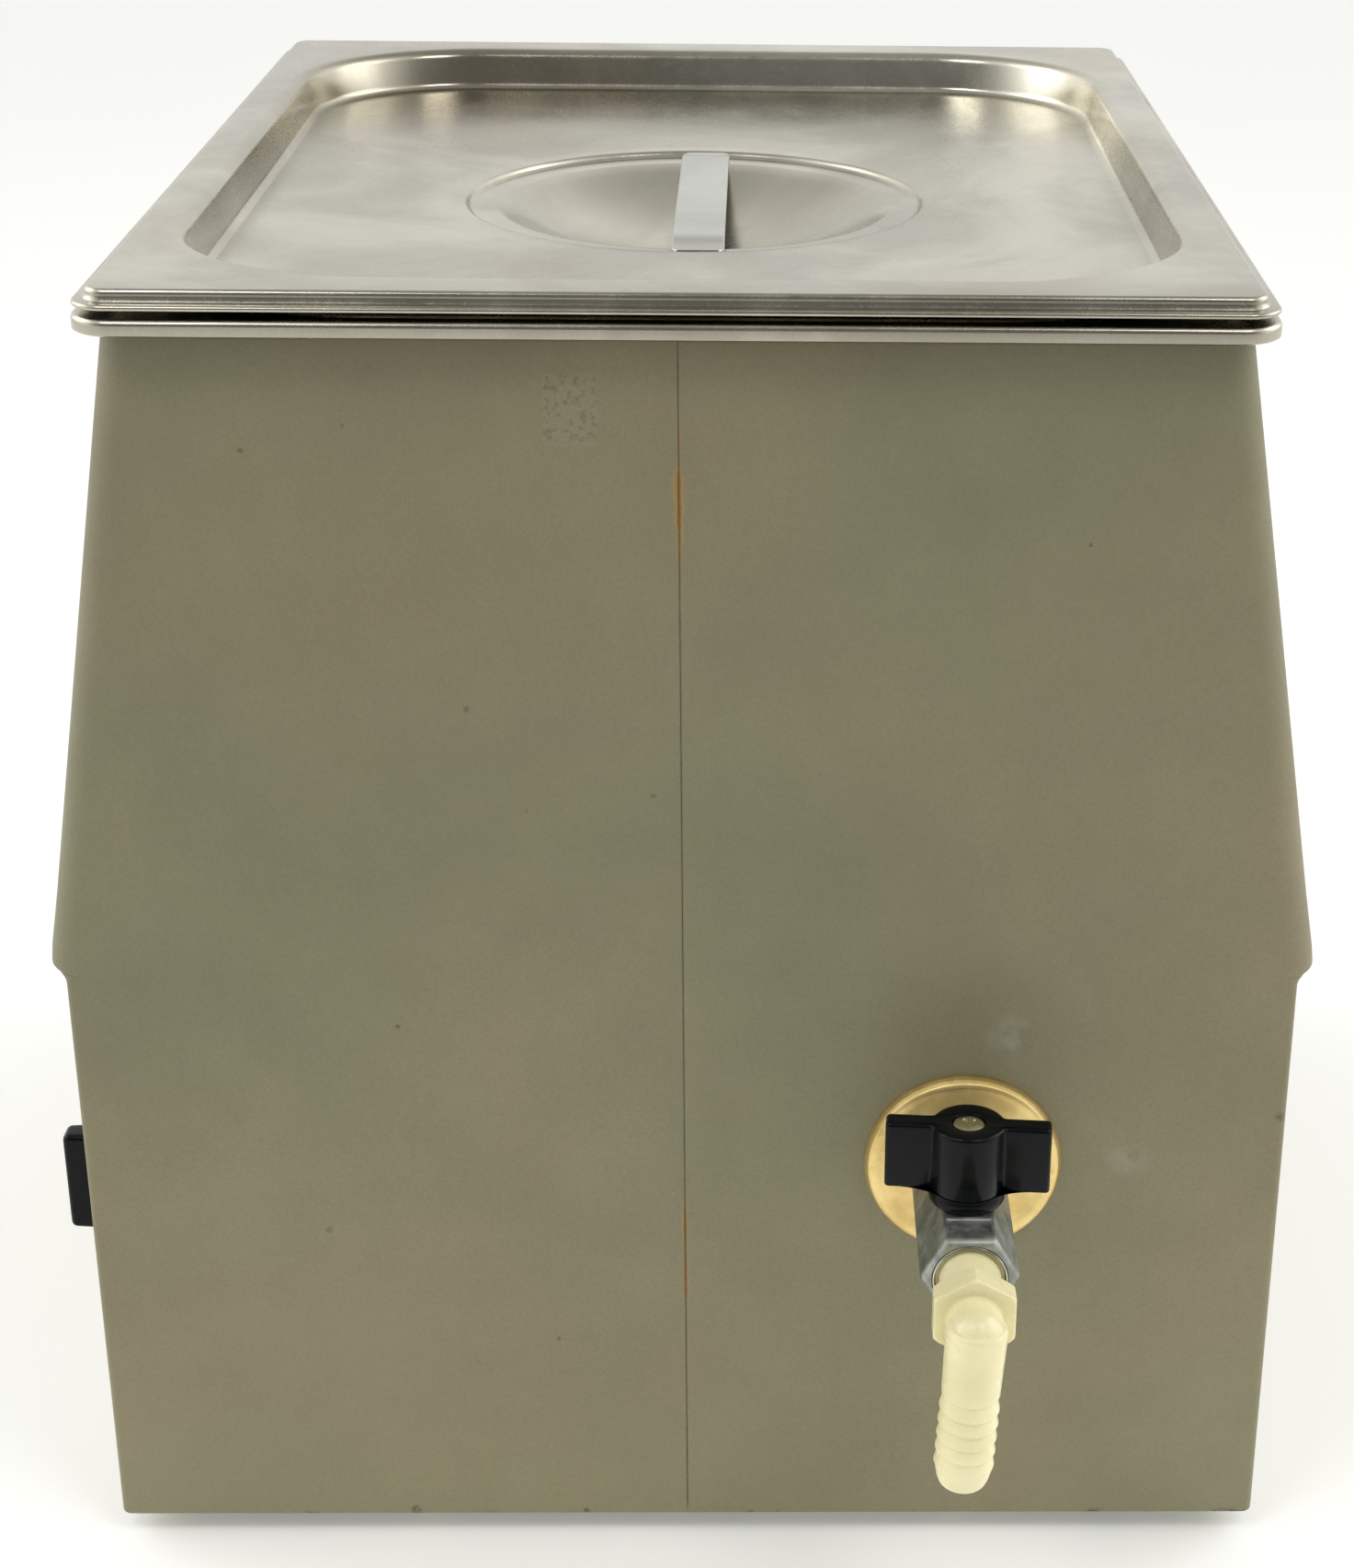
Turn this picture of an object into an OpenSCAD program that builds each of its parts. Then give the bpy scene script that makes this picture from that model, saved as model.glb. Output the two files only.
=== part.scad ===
// Bench water bath: painted sheet-steel housing round a drawn steel tank, loose steel lid, end drain valve.
// X runs along the tank and +X faces the drain end, -Y faces the control front, +Z is up.
// The origin is on the surface it stands on, below the centre of its bounding box.

/* [Housing] */
// Length over the two flat end panels
housing_l = 309.4; // [306:0.1:312]
// Half width of the straight lower part
lower_half_w = 149.6; // [145:0.1:155]
// Half width at the widest line, just above the ledge
step_half_w = 154.4; // [150:0.1:158]
// Half width at the top edge
top_half_w = 128.1; // [127:0.1:130]
// Height of the ledge above the bench
ledge_z = 166.3; // [150:0.1:180]
// Height of the housing's top edge above the bench
housing_top = 325.5; // [320:0.1:335]
// Thickness of the housing sheet
sheet_t = 1.2; // [0.8:0.1:1.4]
// Radius of the upper corners between front, rear and ends
upper_corner_r = 8.5; // [5:0.5:12]
// Sideways place of the seams in the end panels
seam_y = -0.4; // [-5:0.1:5]

/* [Tank] */
// Length over the tank's rim
rim_l = 325; // [324:0.5:328]
// Width over the tank's rim
rim_w = 266; // [265:0.5:268]
// Depth from the rim to the tank floor
tank_depth = 150; // [140:1:160]
// Thickness of the tank sheet
tank_t = 0.9; // [0.7:0.1:1.1]

/* [Lid] */
// Length of the lid's flat top
lid_l = 317.5; // [316:0.5:318]
// Width of the lid's flat top
lid_w = 258.7; // [257:0.1:259]
// Depth of the sunken panel
panel_depth = 11.5; // [10:0.5:14]
// Outer radius of the round hand dish
dish_r = 61; // [55:1:65]
// Depth of the dish below its ledge
dish_depth = 16; // [12:1:18]
// Width of the strap handle
strap_w = 13.4; // [10:0.2:16]

/* [Drain valve] */
// Sideways place of the valve
valve_y = 67.6; // [60:0.1:75]
// Height of the valve's flow axis above the bench
valve_z = 115; // [105:0.5:125]
// Distance of the handle axis from the end panel
handle_reach = 32.9; // [32.9:0.1:33]
// Angle of the closed handle from square across the flow
handle_turn = -4.9; // [-8:0.1:0]
// Angle of the hose tail from plumb
tail_tilt = 3; // [0:0.5:5]

/* [Controls] */
// Distance of the temperature knob from the centre plane
knob_x = 97; // [80:1:100]
// Height of the row of controls above the bench
control_z = 75; // [65:1:90]

/* [Hidden] */
$fn = 64;

paint = [0.52, 0.51, 0.41];
steel = [0.72, 0.71, 0.66];
brass = [0.80, 0.66, 0.36];
black = [0.06, 0.06, 0.07];
nylon = [0.93, 0.91, 0.78];
zinc = [0.48, 0.49, 0.48];

// Housing
foot_h = 7.2;
flange_w = 12;
lower_corner_r = 2;
end_x = housing_l / 2;
bottom_z = foot_h - sheet_t;
slope = atan((step_half_w - top_half_w) / (housing_top - ledge_z));
big = 400;
seam_gap = 0.3;
inner_x = end_x - sheet_t;
lower_inner = lower_half_w - sheet_t;

// Tank, measured from the top of its rim
lid_gap = 1.7;
rim_z = housing_top + 3.9;
rim_r = 10;
mouth_l = 301;
mouth_w = 242;
mouth_r = 52;
wall_lean = 3;
floor_r = 20;
floor_z = rim_z - tank_depth;
under_z = floor_z - tank_t;
lean_run = tan(wall_lean) * (tank_depth - 2 - floor_r * (1 - sin(wall_lean)));
floor_corner = mouth_r - lean_run - floor_r * cos(wall_lean);
floor_inset = mouth_r - floor_corner;

// Lid
lid_t = 1;
lid_r = 5;
lip_w = 2.9;
lip_h = 1.4;
edge_h = 5.3;
lid_z = rim_z + lid_gap + edge_h;
panel_l = 286.2;
panel_w = 234.2;
panel_r = 49;
panel_lean = 10;
top_round = 3;
foot_round = 5;
ledge_w = 9.5;
ledge_drop = 1.6;
strap_t = 1.5;
strap_rise = 1.3;
strap_y = 2;

// Valve
handle_x = end_x + handle_reach;
body_back = end_x + 6.5;
body_front = end_x + 52.3;
body_af = 20.6;
thread_r = 8.3;
thread_gap = 0.05;
ball_r = 7.2;
stem_r = 3;
run_gap = 0.05;
hub_r = 8.75;
hub_bottom = valve_z + body_af / 2 + 0.3;
hub_top = valve_z + 31.1;
wing_l = 39.2;
wing_t = 5.5;
collar_x = body_front + 10.5;
collar_t = 6.3;
collar_af = 18.9;
tail_x = 229.6;
boss_r = 7.4;
knee_swell = 0.15;
tail_r = 7;
tail_len = 40.7;
tail_bore = 4;
plate_r = 24.6;
plate_y = 69.1;

// Drain
drain_x = 90;
bend_r = 26;
hose_in = 6.5;
hose_out = 9;
spigot_x = 118;

// Controls
knob_len = 29.4;
knob_t = 8;
knob_out = 20.1;
skirt_r = 19;
panel_y = -lower_half_w;
switch_x = -95;
lamp_x = 0;
inlet_x = -95;
inlet_z = 60;
fuse_x = -45;
rocker_turn = 8;

// Middle of the bounding box, seen from the middle of the housing
frame_x = (tail_x + boss_r + knee_swell - rim_l / 2) / 2;
frame_y = (step_half_w - lower_half_w - knob_out) / 2;

function arc(cx, cy, r, a0, a1, n = 10) =
  [for (i = [0:n]) let (a = a0 + (a1 - a0) * i / n) [cx + r * cos(a), cy + r * sin(a)]];
function backwards(p) = [for (i = [len(p) - 1:-1:0]) p[i]];

module in_frame() {
  translate([-frame_x, -frame_y, 0]) children();
}

// Flat rectangle with round corners
module round_rect(l, w, r) {
  square([l - 2 * r, w], center = true);
  square([l, w - 2 * r], center = true);
  for (sx = [-1, 1], sy = [-1, 1]) translate([sx * (l / 2 - r), sy * (w / 2 - r)]) circle(r);
}

// Carries a profile round a rectangle with round corners; the profile's x is measured from a corner's centre
module carry_round(l, w, r) {
  for (turn = [0, 180]) rotate([0, 0, turn]) {
    translate([l / 2 - r, w / 2 - r, 0]) rotate([90, 0, 0]) linear_extrude(w - 2 * r) children();
    translate([l / 2 - r, w / 2 - r, 0]) rotate_extrude(angle = 90) children();
    translate([l / 2 - r, r - w / 2, 0]) rotate([0, 0, -90]) rotate_extrude(angle = 90) children();
    rotate([0, 0, 90]) translate([w / 2 - r, l / 2 - r, 0]) rotate([90, 0, 0])
      linear_extrude(l - 2 * r) children();
  }
}

// Cylinder along +X from x0 to x1 on the valve's axis
module on_valve(x0, x1, r) {
  translate([x0, valve_y, valve_z]) rotate([0, 90, 0]) cylinder(h = x1 - x0, r = r);
}

module hex_on_valve(x0, x1, af, turn = 0) {
  translate([x0, valve_y, valve_z]) rotate([turn, 0, 0]) rotate([0, 90, 0])
    cylinder(h = x1 - x0, d = af / cos(30), $fn = 6);
}

// Cylinder along +Y, from y0 to y1
module along_y(x, z, y0, y1, r) {
  translate([x, y1, z]) rotate([90, 0, 0]) cylinder(h = y1 - y0, r = r);
}

// Angle about Z that is square to the way on at a bend and on its outer side
function outer_side(before, here, after) =
  let (
    back = (before - here) / norm(before - here),
    on = (after - here) / norm(after - here),
    way = atan2(on[1] - back[1], on[0] - back[0]),
    inner = (back + on) * [-sin(way), cos(way), 0]
  )
  inner > 0 ? way - 90 : way + 90;

// Round rod through a list of points, with a slightly larger ball at each bend
module rod(points, r, $fn = 16) {
  for (i = [0:len(points) - 2]) {
    d = points[i + 1] - points[i];
    translate(points[i]) rotate([0, acos(d[2] / norm(d)), atan2(d[1], d[0])]) cylinder(h = norm(d), r = r);
  }
  for (i = [1:len(points) - 2]) translate(points[i])
    rotate([0, 0, outer_side(points[i - 1], points[i], points[i + 1])]) sphere(r * 1.15);
}

// ---- Housing ----

// Upright ring of sheet with round corners, open towards +Y
module sheet_channel(half_w, r, h) {
  linear_extrude(h) difference() {
    translate([0, big / 2 - half_w]) round_rect(housing_l, big, r);
    translate([0, big / 2 - half_w + sheet_t]) round_rect(housing_l - 2 * sheet_t, big, r - sheet_t);
  }
}

// Front half of the bare housing, cut at the seam plane
module half_housing(cut_y) {
  difference() {
    union() {
      translate([0, 0, bottom_z]) sheet_channel(lower_half_w, lower_corner_r, ledge_z - bottom_z + sheet_t);
      translate([0, -step_half_w, ledge_z]) rotate([-slope, 0, 0]) translate([0, 0, -20])
        sheet_channel(0, upper_corner_r, 220);
      linear_extrude(ledge_z + sheet_t) difference() {
        translate([0, big / 2 - step_half_w]) round_rect(housing_l, big, upper_corner_r);
        translate([0, big / 2 - lower_inner]) square([2 * inner_x, big], center = true);
      }
    }
    translate([-big / 2, cut_y, -1]) cube([big, big, big]);
    translate([-big / 2, -big / 2, housing_top]) cube([big, big, big]);
    difference() {
      translate([-big / 2, -big / 2, -50]) cube([big, big, ledge_z + 50]);
      linear_extrude(ledge_z + 1) translate([0, big / 2 - lower_half_w])
        round_rect(housing_l, big, lower_corner_r);
    }
    translate([-inner_x, -lower_inner, -1]) cube([2 * inner_x, big, ledge_z + 2]);
    translate([-big / 2, -big / 2, -1]) cube([big, big, bottom_z + 1]);
  }
}

// Inward fold that carries the base plate, and the one that carries the tank's rim
module half_folds(cut_y) {
  difference() {
    union() {
      translate([0, 0, bottom_z]) linear_extrude(sheet_t) difference() {
        square([2 * inner_x + 0.2, 2 * lower_inner + 0.2], center = true);
        square([2 * (inner_x - flange_w), 2 * (lower_inner - flange_w)], center = true);
      }
      translate([0, 0, housing_top - sheet_t]) linear_extrude(sheet_t) difference() {
        round_rect(2 * inner_x + 0.2, 2 * (top_half_w - sheet_t) + 0.2, upper_corner_r - sheet_t);
        round_rect(mouth_l + 3.4, mouth_w + 3, mouth_r + 1.5);
      }
    }
    translate([-big / 2, cut_y, -1]) cube([big, big, big]);
    screw_places() translate([0, 0, -1]) cylinder(h = 20, r = 2.1);
  }
}

module screw_places() {
  for (sx = [-1, 1], sy = [-1, 1]) {
    translate([sx * (inner_x - 6), sy * 70, 0]) children();
    translate([sx * 80, sy * (lower_inner - 6), 0]) children();
  }
}

module front_shell() {
  color(paint) difference() {
    union() {
      half_housing(seam_y - seam_gap / 2);
      half_folds(seam_y - seam_gap / 2);
    }
    along_y(knob_x, control_z, panel_y - 1, panel_y + 3, 5.1);
    along_y(lamp_x, control_z, panel_y - 1, panel_y + 3, 5.2);
    translate([switch_x - 11.2, panel_y - 1, control_z - 14.2]) cube([22.4, 4, 28.4]);
  }
}

module rear_shell() {
  color(paint) difference() {
    mirror([0, 1, 0]) {
      half_housing(-seam_y - seam_gap / 2);
      half_folds(-seam_y - seam_gap / 2);
    }
    on_valve(end_x - 5, end_x + 5, thread_r + 0.7);
    translate([inlet_x - 14, lower_half_w - 3, inlet_z - 10.2]) cube([28, 5, 20.4]);
    for (sx = [-1, 1]) along_y(inlet_x + sx * 20, inlet_z, lower_half_w - 3, lower_half_w + 2, 1.7);
    along_y(fuse_x, inlet_z, lower_half_w - 3, lower_half_w + 2, 6.4);
    for (i = [0:7], row = [0, 1]) translate([20 + i * 14, lower_half_w - 3, 45 + row * 50]) cube([5, 5, 36]);
  }
}

module joint_strips() {
  color(zinc) for (sx = [-1, 1]) translate([sx * (inner_x - sheet_t / 2) - sheet_t / 2, seam_y - 12, 12])
    cube([sheet_t, 24, housing_top - 20]);
}

module base_plate() {
  color(zinc) difference() {
    translate([0, 0, foot_h]) linear_extrude(sheet_t) round_rect(2 * inner_x - 3, 2 * lower_inner - 1, 2);
    screw_places() cylinder(h = 20, r = 2.1);
    foot_places() cylinder(h = 20, r = 2.1);
    for (i = [0:6], row = [-1, 1]) translate([-80 + i * 25, row * 45 - 20, 0]) cube([6, 40, 20]);
  }
}

module base_screws() {
  color(steel) screw_places() {
    translate([0, 0, bottom_z]) mirror([0, 0, 1]) cylinder(h = 1.8, r1 = 3.8, r2 = 2.8);
    translate([0, 0, bottom_z]) cylinder(h = 7, r = 2);
  }
}

module foot_places() {
  for (sx = [-1, 1], sy = [-1, 1]) translate([sx * 124, sy * 118, 0]) children();
}

module feet() {
  color(black) foot_places() difference() {
    cylinder(h = foot_h, r1 = 9, r2 = 11);
    translate([0, 0, -1]) cylinder(h = 4, r = 4.5);
    cylinder(h = 20, r = 2.1);
  }
}

module foot_screws() {
  color(steel) foot_places() {
    translate([0, 0, 1]) cylinder(h = 2, r = 3.8);
    translate([0, 0, 2]) cylinder(h = 11, r = 2);
    translate([0, 0, foot_h + sheet_t]) cylinder(h = 3, r = 4, $fn = 6);
  }
}

// ---- Tank and lid ----

module rim_gasket() {
  color(black) translate([0, 0, housing_top]) linear_extrude(rim_z - 1 - housing_top) difference() {
    round_rect(housing_l - 1, 2 * top_half_w - 1, upper_corner_r);
    round_rect(mouth_l + 3.2, mouth_w + 2.8, mouth_r + 1.4);
  }
}

module tank_section() {
  inner = concat(
    [[mouth_r + 10, 0], [mouth_r + 8.8, 0], [mouth_r + 8.2, lid_gap]],
    arc(mouth_r + 2, lid_gap - 2, 2, 90, 180 - wall_lean, 6),
    arc(floor_corner, floor_r - tank_depth, floor_r, -wall_lean, -90, 10));
  outer = concat(
    [[mouth_r + 10, -tank_t], [mouth_r + 8, -tank_t], [mouth_r + 7.4, lid_gap - tank_t]],
    arc(mouth_r + 2, lid_gap - 2, 2 - tank_t, 90, 180 - wall_lean, 6),
    arc(floor_corner, floor_r - tank_depth, floor_r + tank_t, -wall_lean, -90, 10));
  polygon(concat(inner, backwards(outer)));
}

module tank() {
  color(steel) translate([0, 0, rim_z]) difference() {
    union() {
      carry_round(rim_l, rim_w, rim_r) polygon(concat([[6, 0]], arc(rim_r - 1.3, -1.3, 1.3, 90, 0, 6),
        [[rim_r, -3.4], [rim_r - 1, -3.4], [rim_r - 1, -1.3], [rim_r - 1.3, -tank_t], [6, -tank_t]]));
      translate([0, 0, -tank_t]) linear_extrude(tank_t) difference() {
        round_rect(rim_l - 8, rim_w - 8, rim_r - 4);
        round_rect(mouth_l + 20, mouth_w + 20, mouth_r + 10);
      }
      carry_round(mouth_l, mouth_w, mouth_r) tank_section();
      translate([0, 0, -tank_depth - tank_t]) linear_extrude(tank_t)
        round_rect(mouth_l - 2 * floor_inset, mouth_w - 2 * floor_inset, floor_corner);
    }
    translate([drain_x, valve_y, -tank_depth - 5]) cylinder(h = 10, r = 10.6);
  }
}

module insulation() {
  color("white") translate([0, 0, floor_z + 5]) linear_extrude(65) difference() {
    round_rect(2 * inner_x - 3, mouth_w + 24, 55);
    round_rect(mouth_l - 5, mouth_w - 5, mouth_r - 3);
  }
}

module diffuser_shelf() {
  shelf_z = floor_z + 14;
  color(steel) {
    translate([0, 0, shelf_z]) linear_extrude(tank_t) difference() {
      round_rect(250, 190, 24);
      for (i = [-4:4], j = [-3:3]) translate([i * 26, j * 26]) circle(5);
    }
    for (sx = [-1, 1], sy = [-1, 1]) translate([sx * 65, sy * 65, floor_z]) cylinder(h = 14.2, r = 4);
  }
}

module lid_panel_section() {
  floor_x = panel_r - 5.23;
  top = concat([[panel_r + 5, 0]],
    arc(panel_r + 3.5, -top_round, top_round, 90, 180 - panel_lean, 8),
    arc(floor_x, foot_round - panel_depth, foot_round, -panel_lean, -90, 8));
  under = concat([[panel_r + 5, -lid_t]],
    arc(panel_r + 3.5, -top_round, top_round - lid_t, 90, 180 - panel_lean, 8),
    arc(floor_x, foot_round - panel_depth, foot_round + lid_t, -panel_lean, -90, 8));
  polygon(concat(top, backwards(under)));
}

// Ledge and bowl of the hand dish; drop moves the line down for the sheet's underside
function dish_line(drop) = let (
    bowl_r = dish_r - ledge_w,
    ball = (bowl_r * bowl_r + dish_depth * dish_depth) / (2 * dish_depth),
    half = asin(bowl_r / ball),
    ledge = -panel_depth - ledge_drop - drop)
  concat([[dish_r + 1, -panel_depth - drop], [dish_r, -panel_depth - drop]],
    [[dish_r - 1, ledge], [bowl_r + 1, ledge]],
    [for (i = [1:12]) let (a = half * (1 - i / 12)) [ball * sin(a), ledge - dish_depth + ball * (1 - cos(a))]]);

module lid() {
  color(steel) translate([0, 0, lid_z]) {
    carry_round(lid_l, lid_w, lid_r) polygon(concat([[2, 0]], arc(lid_r - 1, -1, 1, 90, 0, 5),
      [[lid_r, lip_h - edge_h], [lid_r + lip_w, lip_h - edge_h], [lid_r + lip_w, -edge_h],
       [lid_r - lid_t, -edge_h], [lid_r - lid_t, -lid_t - 0.2], [lid_r - lid_t - 0.2, -lid_t], [2, -lid_t]]));
    translate([0, 0, -lid_t]) linear_extrude(lid_t) difference() {
      round_rect(lid_l - 6, lid_w - 6, lid_r - 3);
      round_rect(panel_l + 10, panel_w + 10, panel_r + 5);
    }
    carry_round(panel_l, panel_w, panel_r) lid_panel_section();
    translate([0, 0, -panel_depth - lid_t]) linear_extrude(lid_t) difference() {
      round_rect(panel_l - 10.46, panel_w - 10.46, panel_r - 5.23);
      circle(dish_r + 1);
    }
    rotate_extrude() polygon(concat(dish_line(0), backwards(dish_line(lid_t))));
  }
}

module lid_strap() {
  ledge = lid_z - panel_depth - ledge_drop;
  reach = dish_r - 1.6;
  color(steel) translate([0, strap_y + strap_w / 2, ledge]) rotate([90, 0, 0]) linear_extrude(strap_w) polygon([
    [-reach, 0], [-reach + 6, 0], [-reach + 10, strap_rise],
    [reach - 10, strap_rise], [reach - 6, 0], [reach, 0],
    [reach, strap_t], [reach - 6.6, strap_t], [reach - 10.6, strap_rise + strap_t],
    [-reach + 10.6, strap_rise + strap_t], [-reach + 6.6, strap_t], [-reach, strap_t]]);
}

// ---- Heater ----

heater_l = 185;
heater_w = 170;
heater_x = -22.5;

module stud_places() {
  for (sx = [-1, 1], sy = [-1, 1]) translate([heater_x + sx * 86, sy * 79, 0]) children();
}

module heater_pad() {
  color([0.75, 0.35, 0.2]) difference() {
    translate([heater_x - heater_l / 2, -heater_w / 2, under_z - 3]) cube([heater_l, heater_w, 3]);
    stud_places() cylinder(h = big, r = 2.6);
  }
}

module heater_plate() {
  color(zinc) difference() {
    translate([heater_x - heater_l / 2, -heater_w / 2, under_z - 5]) cube([heater_l, heater_w, 2]);
    stud_places() cylinder(h = big, r = 2.6);
  }
}

module heater_studs() {
  color(steel) stud_places() translate([0, 0, under_z - 13]) cylinder(h = 13, r = 2);
}

module heater_nuts() {
  color(steel) stud_places() translate([0, 0, under_z - 9]) difference() {
    cylinder(h = 4, r = 4.5, $fn = 6);
    translate([0, 0, -1]) cylinder(h = 6, r = 2.05);
  }
}

module heater_insulation() {
  color("white") translate([heater_x - 80, -72, under_z - 15]) cube([160, 144, 10]);
}

module thermal_cutout() {
  color(black) translate([heater_x + 110, 20, under_z - 6]) {
    cylinder(h = 6, r = 8);
    translate([-5, -1, -7]) cube([2, 6, 8]);
    translate([3, -1, -7]) cube([2, 6, 8]);
  }
}

// ---- Drain ----

module at_drain() {
  translate([drain_x, valve_y, 0]) children();
}

module drain_flange() {
  color(brass) at_drain() difference() {
    union() {
      translate([0, 0, floor_z]) cylinder(h = 3, r = 17);
      translate([0, 0, under_z - 14]) cylinder(h = 15, r = 10.4);
      translate([0, 0, under_z - 30]) cylinder(h = 17, r = hose_in - 0.1);
    }
    translate([0, 0, under_z - 31]) cylinder(h = 40, r = 4.5);
  }
}

module drain_gasket() {
  color(black) at_drain() translate([0, 0, under_z - 1.5]) difference() {
    cylinder(h = 1.5, r = 17);
    translate([0, 0, -1]) cylinder(h = 4, r = 10.6);
  }
}

module drain_nut() {
  color(brass) at_drain() translate([0, 0, under_z - 9.5]) difference() {
    cylinder(h = 8, d = 30 / cos(30), $fn = 6);
    translate([0, 0, -1]) cylinder(h = 10, r = 10.45);
  }
}

module drain_hose() {
  hose_top = under_z - 14.5;
  color(black) translate([drain_x, valve_y, valve_z + bend_r]) {
    difference() {
      cylinder(h = hose_top - valve_z - bend_r, r = hose_out);
      translate([0, 0, -1]) cylinder(h = 200, r = hose_in);
    }
    translate([bend_r, 0, 0]) rotate([90, 0, 0]) rotate([0, 0, 180]) rotate_extrude(angle = 90)
      translate([bend_r, 0]) difference() {
        circle(hose_out);
        circle(hose_in);
      }
  }
  color(black) difference() {
    on_valve(drain_x + bend_r, spigot_x + 13, hose_out);
    on_valve(drain_x + bend_r - 1, spigot_x + 14, hose_in);
  }
}

module clamp_band() {
  difference() {
    union() {
      cylinder(h = 7, r = hose_out + 0.9);
      translate([-6, hose_out - 0.5, 0.5]) cube([12, 6, 6]);
    }
    translate([0, 0, -1]) cylinder(h = 10, r = hose_out + 0.02);
  }
}

module hose_clamps() {
  color(steel) {
    at_drain() translate([0, 0, under_z - 26]) clamp_band();
    translate([spigot_x + 4, valve_y, valve_z]) rotate([0, 90, 0]) clamp_band();
  }
}

module bulkhead_nipple() {
  color(brass) difference() {
    union() {
      on_valve(spigot_x, spigot_x + 16, hose_in - 0.1);
      on_valve(spigot_x + 15, end_x + 19, thread_r);
    }
    on_valve(spigot_x - 1, end_x + 20, 4.6);
  }
}

module bulkhead_nut() {
  color(brass) difference() {
    hex_on_valve(inner_x - 8, inner_x, 26);
    on_valve(inner_x - 9, inner_x + 1, thread_r + thread_gap);
  }
}

module escutcheon() {
  color(brass) translate([end_x, plate_y, valve_z + 0.3]) rotate([0, 90, 0]) rotate_extrude() polygon(concat(
    [[10.6, 0], [plate_r, 0], [plate_r, 0.6]], arc(plate_r - 3.2, 0.6, 3.2, 0, 70, 7),
    [[plate_r - 7, 2.9], [14, 2.3], [10.6, 2.3]]));
}

// ---- Valve ----

module valve_body() {
  color(zinc) difference() {
    union() {
      hex_on_valve(body_back, body_front, body_af, 30);
      on_valve(body_back - 3.2, body_back + 1, 9.6);
    }
    on_valve(body_back - 4, end_x + 19.4, thread_r + thread_gap);
    on_valve(body_back, body_front + 1, 5);
    on_valve(handle_x - 8.4, body_front + 1, 8.1);
    on_valve(handle_x + 8.4, body_front + 1, 9);
    translate([handle_x, valve_y, valve_z]) cylinder(h = 20, r = stem_r + run_gap);
    translate([body_front - 10.5, valve_y - 5.2, valve_z + body_af / 2 - 0.7]) cube([7, 10.4, 2]);
  }
}

module valve_insert() {
  color(steel) difference() {
    on_valve(handle_x + 8.4, body_front + 0.4, 8.97);
    on_valve(handle_x + 8, body_front + 1, 5);
    on_valve(handle_x + 11.4, body_front + 1, thread_r + thread_gap);
  }
}

module valve_seats() {
  color("white") for (side = [-1, 1]) difference() {
    on_valve(handle_x + side * 6.82 - 1.57, handle_x + side * 6.82 + 1.57, 8.05);
    on_valve(handle_x - 20, handle_x + 20, 5);
  }
}

module valve_ball() {
  color(steel) translate([handle_x, valve_y, valve_z]) rotate([0, 0, handle_turn]) difference() {
    sphere(ball_r);
    rotate([90, 0, 0]) cylinder(h = 20, r = 4.5, center = true);
    translate([-5, -1.1, 5.2]) cube([10, 2.2, 5]);
  }
}

module valve_stem() {
  color(steel) translate([handle_x, valve_y, valve_z]) rotate([0, 0, handle_turn]) difference() {
    union() {
      intersection() {
        translate([-2.6, -1, 5.4]) cube([5.2, 2, 3]);
        cylinder(h = 20, r = 2.8);
      }
      translate([0, 0, 7.4]) cylinder(h = 15.6, r = stem_r);
    }
    translate([0, 0, 14]) cylinder(h = 20, r = 1.55);
    translate([2.2, -5, 10.4]) cube([5, 10, 20]);
    translate([0, 0, 8.6]) rotate_extrude() translate([stem_r, 0]) circle(0.7);
  }
}

module stem_seal() {
  color(black) translate([handle_x, valve_y, valve_z + 8.6]) rotate_extrude()
    translate([stem_r - 0.33, 0]) circle(0.33);
}

module valve_handle() {
  wing_bottom = valve_z + 13.9;
  color(black) translate([handle_x, valve_y, 0]) rotate([0, 0, handle_turn]) difference() {
    union() {
      translate([0, 0, hub_bottom]) cylinder(h = hub_top - hub_bottom, r = hub_r);
      translate([0, 0, hub_bottom]) cylinder(h = 2.4, r = hub_r + 0.5);
      translate([-wing_t / 2, -wing_l / 2, wing_bottom]) cube([wing_t, wing_l, hub_top - wing_bottom]);
    }
    translate([0, 0, hub_bottom - 1]) difference() {
      cylinder(h = valve_z + 23.2 - hub_bottom + 1, r = stem_r + 0.05);
      translate([2.3, -5, 0]) cube([5, 10, 40]);
    }
    translate([0, 0, hub_bottom]) cylinder(h = 40, r = 1.7);
    translate([0, 0, hub_top - 1.4]) cylinder(h = 5, r = 4);
  }
}

module handle_screw() {
  color(steel) translate([handle_x, valve_y, 0]) rotate([0, 0, handle_turn]) difference() {
    union() {
      translate([0, 0, valve_z + 15]) cylinder(h = hub_top - valve_z - 16, r = 1.5);
      translate([0, 0, hub_top - 1.4]) cylinder(h = 1.3, r = 3.85);
    }
    for (turn = [0, 90]) rotate([0, 0, turn]) translate([-2, -0.4, hub_top - 0.8]) cube([4, 0.8, 2]);
  }
}

// Outline of the hose tail: smooth shank, sawtooth rings, tapered tip
function tail_outline() = let (ring = 3.85, first = 16.5, rings = 5)
  concat([[0, 0], [tail_r + 0.25, 0], [tail_r, -11], [tail_r, -first]],
    [for (i = [0:rings - 1], k = [0, 1])
      [k == 0 ? tail_r - 0.7 : tail_r - 0.1, -first - i * ring - (k == 0 ? 0.5 : ring - 0.2)]],
    [[4.7, -tail_len], [0, -tail_len]]);

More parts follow.
